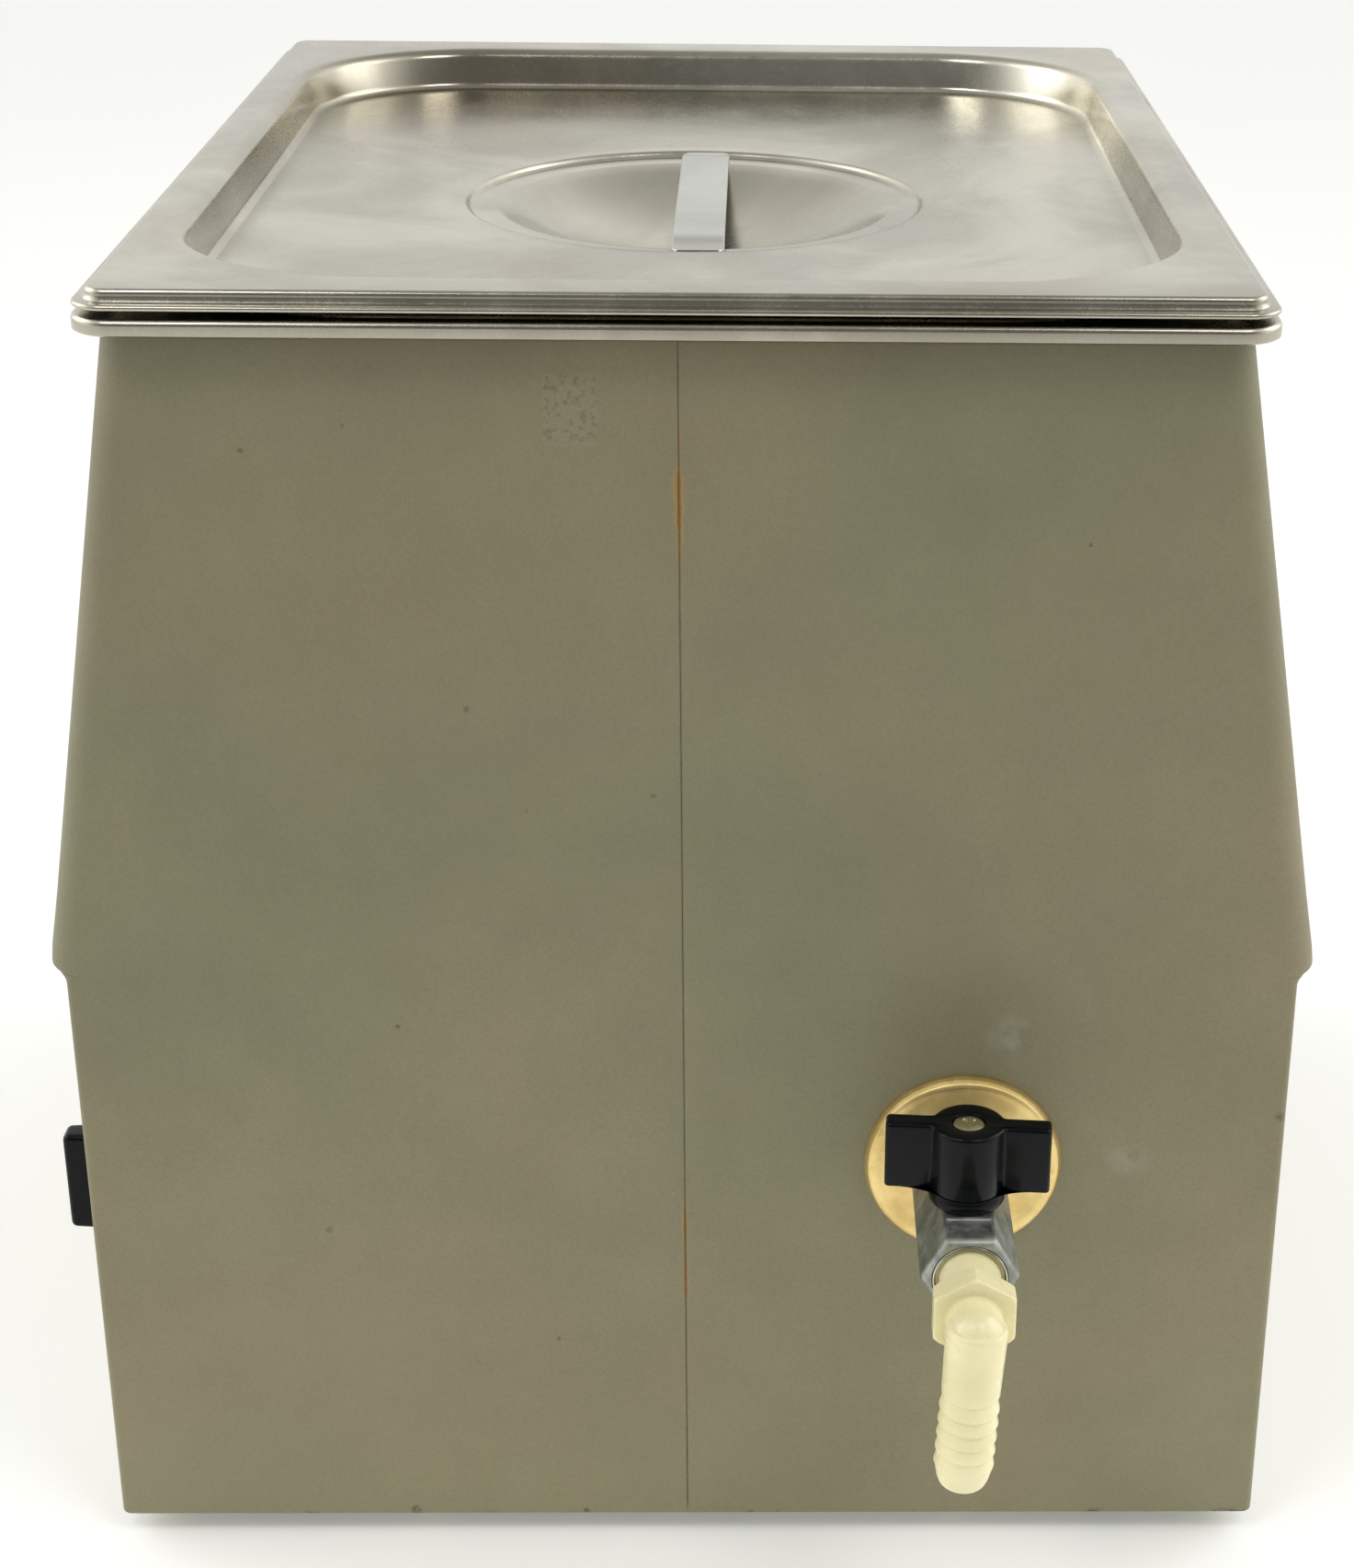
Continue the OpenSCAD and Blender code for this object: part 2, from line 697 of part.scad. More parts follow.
module hose_elbow() {
  color(nylon) translate([0, valve_y, valve_z]) difference() {
    union() {
      translate([handle_x + 11.6, 0, 0]) rotate([0, 90, 0])
        cylinder(h = collar_x - handle_x - 11, r = thread_r);
      translate([collar_x, 0, 0]) rotate([0, 90, 0]) cylinder(h = collar_t, d = collar_af / cos(30), $fn = 6);
      translate([collar_x, 0, 0]) rotate([0, 90, 0]) cylinder(h = tail_x - collar_x, r = boss_r);
      translate([tail_x, 0, 0]) sphere(boss_r + knee_swell);
      translate([tail_x, 0, 0]) rotate([-tail_tilt, 0, 0]) rotate_extrude() polygon(tail_outline());
    }
    translate([handle_x, 0, 0]) rotate([0, 90, 0]) cylinder(h = tail_x - handle_x, r = tail_bore);
    translate([tail_x, 0, 0]) sphere(tail_bore + knee_swell);
    translate([tail_x, 0, 0]) rotate([180 - tail_tilt, 0, 0]) cylinder(h = 60, r = tail_bore);
  }
}

// ---- Controls ----

module scale_plate() {
  color(steel) difference() {
    translate([knob_x - 32, panel_y - 0.6, control_z - 32]) cube([64, 0.6, 64]);
    along_y(knob_x, control_z, panel_y - 2, panel_y + 2, 5.1);
  }
}

module thermostat() {
  color("gainsboro") difference() {
    union() {
      translate([knob_x - 18, panel_y + sheet_t, control_z - 20]) cube([36, 32, 40]);
      along_y(knob_x, control_z, panel_y - 4, panel_y + sheet_t + 1, 5);
    }
    along_y(knob_x, control_z, panel_y - 5, panel_y + 8, 3.05);
  }
}

module thermostat_nut() {
  color(steel) difference() {
    translate([knob_x, panel_y - 0.6, control_z]) rotate([90, 0, 0]) cylinder(h = 2.4, r = 8, $fn = 6);
    along_y(knob_x, control_z, panel_y - 4, panel_y + 1, 5.05);
  }
}

module thermostat_shaft() {
  color(steel) along_y(knob_x, control_z, panel_y - 15, panel_y + 7.5, 3);
}

module thermostat_knob() {
  color(black) difference() {
    union() {
      along_y(knob_x, control_z, panel_y - 8.5, panel_y - 1.6, skirt_r);
      intersection() {
        translate([knob_x - knob_t / 2, panel_y - knob_out, control_z - knob_len / 2])
          cube([knob_t, knob_out - 4, knob_len]);
        along_y(knob_x, control_z, panel_y - 30, panel_y, skirt_r);
      }
    }
    along_y(knob_x, control_z, panel_y - 4.5, panel_y, 9.5);
    along_y(knob_x, control_z, panel_y - 15.2, panel_y, 3.02);
  }
}

module thermostat_bulb() {
  back = panel_y + sheet_t + 32;
  color([0.72, 0.43, 0.28]) {
    translate([-60, -90.5, under_z - 3.1]) rotate([0, 90, 0]) cylinder(h = 100, r = 3);
    rod([[40, -90.5, under_z - 3.1], [60, -92, under_z - 8], [78, -95, 150], [88, -104, 110],
      [knob_x, back + 6, 90], [knob_x, back + 0.4, 84]], 0.9);
  }
}

module bulb_clips() {
  color(steel) for (x = [-45, 20]) translate([x, -90.5, under_z - 3.1]) difference() {
    union() {
      rotate([0, 90, 0]) cylinder(h = 8, r = 3.8);
      translate([0, -3.8, 0]) cube([8, 7.6, 3.1]);
    }
    translate([-1, 0, 0]) rotate([0, 90, 0]) cylinder(h = 10, r = 3.05);
    translate([-1, -3.02, 0]) cube([10, 6.04, 4]);
  }
}

module switch_body() {
  color(black) difference() {
    union() {
      translate([switch_x - 13, panel_y - 2, control_z - 16]) cube([26, 2, 32]);
      translate([switch_x - 11, panel_y - 1, control_z - 14]) cube([22, 26, 28]);
    }
    translate([switch_x - 8.6, panel_y - 3, control_z - 12]) cube([17.2, 14, 24]);
    translate([switch_x - 12, panel_y + 2, control_z]) rotate([0, 90, 0]) cylinder(h = 24, r = 1.5);
  }
}

module switch_pin() {
  color(steel) translate([switch_x - 10.9, panel_y + 2, control_z]) rotate([0, 90, 0])
    cylinder(h = 21.8, r = 1.45);
}

// Rocker with its upper half standing out; it turns about a pin along X
module switch_rocker() {
  face = panel_y - 3.5;
  color([0.55, 0.08, 0.06]) translate([0, panel_y + 2, control_z]) rotate([rocker_turn, 0, 0])
    translate([0, -panel_y - 2, -control_z]) difference() {
      translate([switch_x - 8.2, 0, control_z]) rotate([90, 0, 90]) linear_extrude(16.4) polygon(
        [[face - 0.8, 11], [face + 1, 4], [face + 1.4, 0], [face + 1, -4], [face - 0.8, -11],
         [panel_y + 2, -10], [panel_y + 5, -3], [panel_y + 5, 3], [panel_y + 2, 10]]);
      translate([switch_x - 12, panel_y + 2, control_z]) rotate([0, 90, 0]) cylinder(h = 24, r = 1.5);
    }
}

module pilot_lamp() {
  color("gainsboro") difference() {
    union() {
      along_y(lamp_x, control_z, panel_y - 1.2, panel_y, 7);
      along_y(lamp_x, control_z, panel_y - 1, panel_y + 22, 5);
    }
    along_y(lamp_x, control_z, panel_y - 2, panel_y + 8, 4.1);
  }
}

module lamp_lens() {
  color([0.8, 0.25, 0.08]) {
    along_y(lamp_x, control_z, panel_y - 1.4, panel_y + 7.9, 4);
    intersection() {
      translate([lamp_x, panel_y + 1.6, control_z]) sphere(5);
      along_y(lamp_x, control_z, panel_y - 5, panel_y - 1.2, 4);
    }
  }
}

// ---- Mains parts on the rear ----

module power_inlet() {
  color(black) difference() {
    union() {
      translate([inlet_x - 24.5, lower_half_w, inlet_z - 11]) cube([49, 2.5, 22]);
      translate([inlet_x - 13.8, lower_half_w - 20, inlet_z - 10]) cube([27.6, 21, 20]);
    }
    translate([inlet_x - 12, lower_half_w - 13, inlet_z - 8.2]) cube([24, 20, 16.4]);
    for (sx = [-1, 1]) along_y(inlet_x + sx * 20, inlet_z, lower_half_w - 1, lower_half_w + 4, 1.7);
    for (sx = [-1, 0, 1]) translate([inlet_x + sx * 7 - 1.05, lower_half_w - 30, inlet_z - 2.05])
      cube([2.1, 20, 4.1]);
  }
}

module inlet_pins() {
  color(steel) for (sx = [-1, 0, 1]) translate([inlet_x + sx * 7 - 1, lower_half_w - 27, inlet_z - 2])
    cube([2, 25, 4]);
}

module inlet_screws() {
  color(steel) for (sx = [-1, 1]) {
    along_y(inlet_x + sx * 20, inlet_z, lower_half_w - 8, lower_half_w + 3, 1.6);
    along_y(inlet_x + sx * 20, inlet_z, lower_half_w + 2.5, lower_half_w + 4.1, 3);
  }
}

module fuse_holder() {
  color(black) difference() {
    union() {
      along_y(fuse_x, inlet_z, lower_half_w, lower_half_w + 2, 9);
      along_y(fuse_x, inlet_z, lower_half_w - 34, lower_half_w + 1, 6.3);
    }
    along_y(fuse_x, inlet_z, lower_half_w - 30, lower_half_w + 3, 4);
  }
}

module fuse_cap() {
  color(black) difference() {
    union() {
      along_y(fuse_x, inlet_z, lower_half_w + 2, lower_half_w + 4.4, 7);
      along_y(fuse_x, inlet_z, lower_half_w - 12, lower_half_w + 3, 3.9);
    }
    translate([fuse_x - 5, lower_half_w + 3.4, inlet_z - 0.7]) cube([10, 2, 1.4]);
  }
}

block_z = foot_h + sheet_t;

module terminal_block() {
  color("ivory") difference() {
    translate([-70, 80, block_z]) cube([60, 22, 17]);
    for (i = [0:3]) translate([-62.5 + i * 15, 91, block_z + 7]) cylinder(h = 20, r = 2.5);
  }
}

module wiring() {
  wire_r = 1.6;
  at_inlet = lower_half_w - 28.4;
  front_end = 79.3;
  rear_end = 102.7;
  color("dimgray") {
    rod([[inlet_x - 7, at_inlet, inlet_z], [inlet_x - 7, 114, 45], [-62.5, 113, 20],
      [-62.5, rear_end, 17]], wire_r);
    rod([[inlet_x + 7, at_inlet, inlet_z], [inlet_x + 7, 115, 50], [-47.5, 113, 24],
      [-47.5, rear_end, 17]], wire_r);
    rod([[switch_x, panel_y + 25.8, control_z - 6], [switch_x, -100, 60], [-85, 0, 30], [-62.5, 66, 20],
      [-62.5, front_end, 17]], wire_r);
    rod([[knob_x - 10, panel_y + sheet_t + 33, control_z - 14], [70, -92, 48], [14, -20, 36], [-32.5, 58, 25],
      [-32.5, front_end, 17]], wire_r);
    rod([[-17.5, front_end, 17], [-12, 68, 30], [heater_x + 100, 26, 150],
      [heater_x + 106, 22, under_z - 13.8]], wire_r);
    rod([[lamp_x, panel_y + 23, control_z], [lamp_x, -112, 66], [-30, -40, 40], [-47.5, 64, 22],
      [-47.5, front_end, 17]], wire_r);
  }
}

in_frame() front_shell();
in_frame() rear_shell();
in_frame() joint_strips();
in_frame() base_plate();
in_frame() base_screws();
in_frame() feet();
in_frame() foot_screws();
in_frame() rim_gasket();
in_frame() tank();
in_frame() insulation();
in_frame() diffuser_shelf();
in_frame() lid();
in_frame() lid_strap();
in_frame() heater_pad();
in_frame() heater_plate();
in_frame() heater_studs();
in_frame() heater_nuts();
in_frame() heater_insulation();
in_frame() drain_flange();
in_frame() drain_gasket();
in_frame() drain_nut();
in_frame() drain_hose();
in_frame() hose_clamps();
in_frame() bulkhead_nipple();
in_frame() bulkhead_nut();
in_frame() escutcheon();
in_frame() valve_body();
in_frame() valve_insert();
in_frame() valve_seats();
in_frame() valve_ball();
in_frame() valve_stem();
in_frame() stem_seal();
in_frame() valve_handle();
in_frame() handle_screw();
in_frame() hose_elbow();
in_frame() scale_plate();
in_frame() thermostat();
in_frame() thermostat_nut();
in_frame() thermostat_shaft();
in_frame() thermostat_knob();
in_frame() thermostat_bulb();
in_frame() bulb_clips();
in_frame() thermal_cutout();
in_frame() switch_body();
in_frame() switch_rocker();
in_frame() switch_pin();
in_frame() pilot_lamp();
in_frame() lamp_lens();
in_frame() power_inlet();
in_frame() inlet_pins();
in_frame() inlet_screws();
in_frame() fuse_holder();
in_frame() fuse_cap();
in_frame() terminal_block();
in_frame() wiring();
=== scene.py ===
import math

import bmesh
import bpy
import numpy as np
from mathutils import Matrix, Vector, noise


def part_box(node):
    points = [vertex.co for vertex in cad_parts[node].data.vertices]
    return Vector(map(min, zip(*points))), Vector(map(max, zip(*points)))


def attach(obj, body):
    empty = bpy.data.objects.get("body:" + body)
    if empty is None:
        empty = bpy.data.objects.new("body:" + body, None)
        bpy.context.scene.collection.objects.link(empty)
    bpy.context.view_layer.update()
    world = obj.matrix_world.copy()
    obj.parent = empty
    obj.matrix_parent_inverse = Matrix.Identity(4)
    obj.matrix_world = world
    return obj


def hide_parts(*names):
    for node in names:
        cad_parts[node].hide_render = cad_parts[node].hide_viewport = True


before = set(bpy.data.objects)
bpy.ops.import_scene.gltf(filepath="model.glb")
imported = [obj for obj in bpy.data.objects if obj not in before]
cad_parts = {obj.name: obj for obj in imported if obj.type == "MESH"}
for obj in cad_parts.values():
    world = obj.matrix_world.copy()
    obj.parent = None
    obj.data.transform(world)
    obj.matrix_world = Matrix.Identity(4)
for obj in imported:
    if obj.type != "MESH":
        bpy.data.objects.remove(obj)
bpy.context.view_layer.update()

# Pieces are drawn in millimetres from the middle of the housing, X along the tank, Z up from the bench,
# and then brought into the row frame in metres.
MM = 0.001

shell_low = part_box("front_shell")[0]
shell_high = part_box("rear_shell")[1]
home = Vector(((shell_low.x + shell_high.x) / 2, (shell_low.y + shell_high.y) / 2, 0))
to_row = Matrix.Translation(home) @ Matrix.Scale(MM, 4)


def middle(node):
    low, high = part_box(node)
    return ((low + high) / 2 - home) / MM


def low_of(node):
    return (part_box(node)[0] - home) / MM


def high_of(node):
    return (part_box(node)[1] - home) / MM


# Housing: half lengths and half widths (W), heights (Z) and corner radii (R)
END_X = high_of("front_shell").x
STEP_W = high_of("rear_shell").y
LOWER_W = 149.6
TOP_W = 128.1
LEDGE_Z = 166.3
SHELL_TOP = high_of("front_shell").z
SHELL_LOW = low_of("front_shell").z
SHEET = 1.2
UPPER_R = 8.5
LOWER_R = 2
SEAM_Y = -0.4
SEAM_GAP = 0.14
PANEL_Y = -LOWER_W
FOOT_X, FOOT_Y = 124, 118

# Tank: its rim, and its mouth as half length, half width and corner radius
BEAD_H = 1.7
RIM_Z = high_of("tank").z - BEAD_H
RIM_L = high_of("tank").x
RIM_W = high_of("tank").y
RIM_R = 10
MOUTH = (150.5, 121, 52)
TANK_T = 0.9
TANK_DEEP = 150
FLANGE_UP = 1

# Lid: its outline and its sunken panel as half length, half width and corner radius, then the round bowl
LID_Z = high_of("lid").z
LID = (158.75, 129.35, 5)
LID_T = 1.0
PANEL = (143.1, 117.1, 49)
PANEL_DEEP = 11.5
DISH_R = 61
BOWL_R = 51.5
DISH_DEEP = 13.4
LEDGE_DROP = 1.6
LID_SAG = 2.6
FOOT_R = 2.4
LIP_W = 2.9
EDGE_H = 4.3

# Valve and hose elbow
VALVE_Y = middle("valve_body").y
VALVE_Z = middle("valve_insert").z
HANDLE = Vector((middle("valve_stem").x, VALVE_Y, 0))
HANDLE_TURN = math.radians(-4.9)
NUT_X = 217.5
TAIL_X = 229.6
ELBOW_BORE = 4

# Controls on the front and the rear
KNOB = middle("thermostat_knob")
CONTROL_Z = KNOB.z
SWITCH_X = middle("switch_body").x
INLET = middle("power_inlet")
INLET_SCREW_X = 20
FUSE = middle("fuse_cap")
DIAL_STEPS = 6
DIAL_ZERO, DIAL_SWING = 240, 300


# ---- Mesh building ----


def add_object(name, data):
    obj = bpy.data.objects.new(name, data)
    bpy.context.scene.collection.objects.link(obj)
    return obj


def smooth(obj, angle=32):
    mesh = obj.data
    mesh.polygons.foreach_set("use_smooth", [True] * len(mesh.polygons))
    mesh.set_sharp_from_angle(angle=math.radians(angle))
    return obj


def make(name, verts, faces, angle=32):
    """A closed mesh from millimetre points, with its faces turned outwards."""
    mesh = bpy.data.meshes.new(name)
    mesh.from_pydata([tuple(v) for v in verts], [], faces)
    bm = bmesh.new()
    bm.from_mesh(mesh)
    bmesh.ops.remove_doubles(bm, verts=bm.verts, dist=0.001)
    bmesh.ops.recalc_face_normals(bm, faces=bm.faces)
    bm.to_mesh(mesh)
    bm.free()
    mesh.transform(to_row)
    return smooth(add_object(name, mesh), angle)


def settle(obj, angle=32):
    """Turns the modifiers of a piece into its mesh."""
    graph = bpy.context.evaluated_depsgraph_get()
    mesh = bpy.data.meshes.new_from_object(obj.evaluated_get(graph))
    obj.modifiers.clear()
    obj.data = mesh
    return smooth(obj, angle)


def combine(obj, others, how="DIFFERENCE", angle=32):
    for other in others:
        step = obj.modifiers.new("step", "BOOLEAN")
        step.operation = how
        step.solver = "EXACT"
        step.object = other
    bpy.context.view_layer.update()
    settle(obj, angle)
    for other in others:
        bpy.data.objects.remove(other)
    return obj


def join(name, pieces):
    """One mesh object from several."""
    bm = bmesh.new()
    for piece in pieces:
        bm.from_mesh(piece.data)
        bpy.data.objects.remove(piece)
    mesh = bpy.data.meshes.new(name)
    bm.to_mesh(mesh)
    bm.free()
    return smooth(add_object(name, mesh))


def round_edges(obj, width, segments=3, limit=35):
    step = obj.modifiers.new("round", "BEVEL")
    step.width = width * MM
    step.segments = segments
    step.limit_method = "ANGLE"
    step.angle_limit = math.radians(limit)
    step.use_clamp_overlap = True
    return settle(obj)


def finish_piece(obj, material, body, replaces=()):
    obj.data.materials.clear()
    obj.data.materials.append(material)
    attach(obj, body)
    if replaces:
        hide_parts(*replaces)
    return obj


def loft(rings, closed_end=False, closed_start=False, wrap=False):
    """Quads between rings of the same count. wrap joins the last ring to the first."""
    count = len(rings[0])
    verts = [p for ring in rings for p in ring]
    faces = []
    for j in range(len(rings) - (0 if wrap else 1)):
        a = j * count
        b = ((j + 1) % len(rings)) * count
        faces += [(a + i, a + (i + 1) % count, b + (i + 1) % count, b + i) for i in range(count)]
    if closed_start:
        faces.append(tuple(range(count)))
    if closed_end:
        start = (len(rings) - 1) * count
        faces.append(tuple(range(start, start + count)))
    return verts, faces


def ring_path(half_x, half_y, r, corner=10, side=(14, 12)):
    """Points round a rectangle with round corners, the same count for every size."""
    r = max(r, 0.05)
    signs = [(1, 1), (-1, 1), (-1, -1), (1, -1)]
    points = []
    for k, (sx, sy) in enumerate(signs):
        cx, cy = sx * (half_x - r), sy * (half_y - r)
        for i in range(corner + 1):
            a = math.pi / 2 * (k + i / corner)
            points.append((cx + r * math.cos(a), cy + r * math.sin(a)))
        x, y = points[-1]
        next_x, next_y = signs[(k + 1) % 4]
        run_x = next_x * (half_x - r) + r * math.cos(a) - x
        run_y = next_y * (half_y - r) + r * math.sin(a) - y
        n = side[k % 2]
        points += [(x + run_x * i / n, y + run_y * i / n) for i in range(1, n)]
    return points


def ring(half_x, half_y, r, z, **how):
    return [(x, y, z) for x, y in ring_path(half_x, half_y, r, **how)]


def degrees(*steps):
    """The angles of a range, in radians."""
    return [math.radians(a) for a in range(*steps)]


def arc(cx, cz, r, start, end, n):
    angles = [math.radians(start + (end - start) * i / n) for i in range(n + 1)]
    return [(cx + r * math.cos(a), cz + r * math.sin(a)) for a in angles]


def fillet(points, radii, n=5):
    """Rounds the corners of an open line of (x, z) points."""
    out = [points[0]]
    for before, here, after, r in zip(points, points[1:], points[2:], radii):
        if r <= 0:
            out.append(here)
            continue
        p, a, b = Vector(here), Vector(before) - Vector(here), Vector(after) - Vector(here)
        half = a.angle(b) / 2
        reach = min(r / math.tan(half), a.length * 0.49, b.length * 0.49)
        start, end = p + a.normalized() * reach, p + b.normalized() * reach
        for i in range(n + 1):
            t = i / n
            q = start * (1 - t) ** 2 + p * 2 * t * (1 - t) + end * t ** 2
            out.append((q.x, q.y))
    out.append(points[-1])
    return out


def turned(name, outline, place, turn=None, count=64):
    """A closed loop of (radius, height) points spun about Z, then turned and placed."""
    turn = turn or Matrix.Identity(4)
    move = Matrix.Translation(place) @ turn.to_4x4()
    angles = [2 * math.pi * i / count for i in range(count)]
    rings = [[move @ Vector((r * math.cos(a), r * math.sin(a), z)) for a in angles] for r, z in outline]
    on_axis = outline[0][0] < 0.01
    verts, faces = loft(rings, wrap=not on_axis)
    return make(name, verts, faces)


def block(name, low, high, turn=None, angle=32):
    low, high = Vector(low), Vector(high)
    corners = [Vector((x, y, z)) for z in (low.z, high.z) for y in (low.y, high.y) for x in (low.x, high.x)]
    if turn:
        pivot = (low + high) / 2
        corners = [pivot + turn @ (c - pivot) for c in corners]
    faces = [(0, 1, 3, 2), (4, 6, 7, 5), (0, 4, 5, 1), (2, 3, 7, 6), (0, 2, 6, 4), (1, 5, 7, 3)]
    return make(name, corners, faces, angle)


TO_X = Matrix.Rotation(math.radians(90), 3, "Y")
TO_FRONT = Matrix.Rotation(math.radians(90), 3, "X")
TO_REAR = Matrix.Rotation(math.radians(-90), 3, "X")


def rod(name, start, end, r):
    start, end = Vector(start), Vector(end)
    spin = (end - start).to_track_quat("Z", "Y").to_matrix()
    h = (end - start).length
    return turned(name, [(0, 0), (r, 0), (r, h), (0, h)], start, spin, 48)


def valve_turned(name, outline, x, count=72):
    """A turned shape about the valve's axis, starting at x."""
    return turned(name, outline, (x, VALVE_Y, VALVE_Z), TO_X, count)


def valve_bore(start, end, r):
    """A cutter along the valve's axis."""
    return rod("cut", (start, VALVE_Y, VALVE_Z), (end, VALVE_Y, VALVE_Z), r)


# ---- Materials ----

SOCKETS = {
    "colour": "Base Color",
    "metal": "Metallic",
    "rough": "Roughness",
    "bump": "Normal",
    "coat": "Coat Weight",
    "specular": "Specular IOR Level",
    "clear": "Transmission Weight",
    "under": "Subsurface Weight",
    "under_scale": "Subsurface Scale",
    "under_radius": "Subsurface Radius",
    "sheen": "Sheen Weight",
    "glow": "Emission Strength",
    "glow_colour": "Emission Color",
}


def linear(r, g, b):
    """A colour given as 0 to 255 display values."""
    levels = [((c / 255 + 0.055) / 1.055) ** 2.4 if c > 10 else c / 255 / 12.92 for c in (r, g, b)]
    return (*levels, 1)


class Nodes:
    """A node tree built node by node."""

    def __init__(self, tree, place):
        self.tree = tree
        self.here = self.node("ShaderNodeTexCoord").outputs[place]

    def node(self, kind, inputs=None, **settings):
        made = self.tree.nodes.new(kind)
        for key, value in settings.items():
            setattr(made, key, value)
        for key, value in (inputs or {}).items():
            self.feed(made.inputs[key], value)
        return made

    def feed(self, socket, value):
        if isinstance(value, bpy.types.NodeSocket):
            self.tree.links.new(value, socket)
        else:
            socket.default_value = value

    def noise(self, scale, detail=3, rough=0.5, at=None, twist=0):
        made = self.node("ShaderNodeTexNoise", {"Vector": at or self.here, "Scale": scale, "Detail": detail,
                                                "Roughness": rough, "Distortion": twist})
        return made.outputs["Fac"]

    def cells(self, scale, at=None):
        made = self.node("ShaderNodeTexVoronoi", {"Vector": at or self.here, "Scale": scale}, feature="F1")
        return made.outputs["Distance"]

    def vector(self, what, *values):
        return self.node("ShaderNodeVectorMath", dict(enumerate(values)), operation=what).outputs

    def stretch(self, x, y, z, at=None):
        return self.vector("MULTIPLY", at or self.here, (x, y, z))[0]

    def ramp(self, value, *stops):
        made = self.node("ShaderNodeValToRGB", {"Fac": value})
        points = made.color_ramp.elements
        while len(points) < len(stops):
            points.new(1)
        for point, (at, colour) in zip(points, stops):
            point.position = at
            point.color = colour if hasattr(colour, "__len__") else (colour, colour, colour, 1)
        return made.outputs["Color"]

    def mix(self, amount, a, b, blend="MIX"):
        made = self.node("ShaderNodeMix", data_type="RGBA", blend_type=blend)
        self.feed(made.inputs[0], amount)
        self.feed(made.inputs[6], a)
        self.feed(made.inputs[7], b)
        return made.outputs[2]

    def tint(self, colour, factor):
        return self.mix(1.0, colour, factor, "MULTIPLY")

    def maths(self, what, *values):
        return self.node("ShaderNodeMath", dict(enumerate(values)), operation=what).outputs[0]

    def times(self, first, *others):
        for other in others:
            first = self.maths("MULTIPLY", first, other)
        return first

    def apart(self, a, b):
        """The distance between two numbers."""
        return self.maths("ABSOLUTE", self.maths("SUBTRACT", a, b))

    def parts(self, at=None):
        made = self.node("ShaderNodeSeparateXYZ", {0: at or self.here})
        return made.outputs[0], made.outputs[1], made.outputs[2]

    def fade(self, value, low, high, start=0.0, end=1.0):
        """From start at low to end at high, in either direction, and level outside them."""
        inputs = {"Value": value, "From Min": low, "From Max": high, "To Min": start, "To Max": end}
        return self.node("ShaderNodeMapRange", inputs, interpolation_type="SMOOTHSTEP").outputs["Result"]

    def distance(self, point):
        return self.vector("DISTANCE", self.here, point)["Value"]

    def bump(self, height, strength, depth_mm=0.1, after=None):
        inputs = {"Height": height, "Strength": strength, "Distance": depth_mm * MM}
        if after:
            inputs["Normal"] = after
        return self.node("ShaderNodeBump", inputs).outputs["Normal"]


class Look(Nodes):
    """A material."""

    def __init__(self, name):
        self.material = bpy.data.materials.new(name)
        self.material.use_nodes = True
        super().__init__(self.material.node_tree, "Object")

    def set(self, **values):
        shader = self.tree.nodes["Principled BSDF"]
        for key, value in values.items():
            self.feed(shader.inputs[SOCKETS[key]], value)
        return self.material


def at_mm(x, y, z):
    return to_row @ Vector((x, y, z))


# Rust along the seam of the drain end, as (height, strength), and other marks there, as (y, z, radius)
MARKED_H = 330
RUST_RUNS = [(74, 0), (77, 0.9), (82, 0.75), (90, 0.35), (93, 0.8), (101, 0.7), (104, 0.15), (111, 0.1),
             (113, 0.6), (116, 0.1), (147, 0.05), (150, 0.45), (153, 0.05), (183, 0.05), (187, 0.5),
             (190, 0.1), (226, 0.05), (262, 0.1), (264, 0.35), (268, 0.1), (274, 0.5), (284, 0.95),
             (295, 0.95), (298, 0.25), (303, 0.6), (307, 0)]
SPECKS = [(-50, 237, 1.1), (-70, 153, 0.9), (-90, 95, 1.2), (-75, 305, 0.6), (-37, 211, 0.6), (-7, 215, 0.8),
          (-98, 299, 0.8), (-33, 62, 0.7), (93, 278, 0.7), (-72, 8, 1.6), (-27, 7.5, 1.3), (148, 128, 1.8)]
SMUDGES = [(80, 150, 9), (111, 117, 8)]

# Flaked residue there, as the middle and half size in y and z
RESIDUE = (-24.3, 308.8, 6.4, 8.5)


def paint_and_painted_shade(look, height):
    """Two close colours in broad patches, with clouds and grain, and painted light and shade: lighter towards
    the bottom as painted floor bounce, darker towards the top as painted shadow under the rim.
    """
    broad = look.noise(8.5, 2, 0.45, twist=0.4)
    colour = look.mix(look.fade(broad, 0.32, 0.7), linear(127, 124, 96), linear(135, 126, 98))
    colour = look.tint(colour, look.ramp(look.noise(23, 4, 0.6), (0.3, 0.92), (0.72, 1.06)))
    colour = look.tint(colour, look.ramp(look.noise(1300, 3, 0.65), (0.3, 0.92), (0.7, 1.07)))
    # painted light and shade: the paint is lightened near the bench and darkened near the top under the rim
    return look.tint(colour, look.ramp(height, (0, 1.2), (0.12, 1.08), (0.5, 0.94), (0.96, 0.86)))


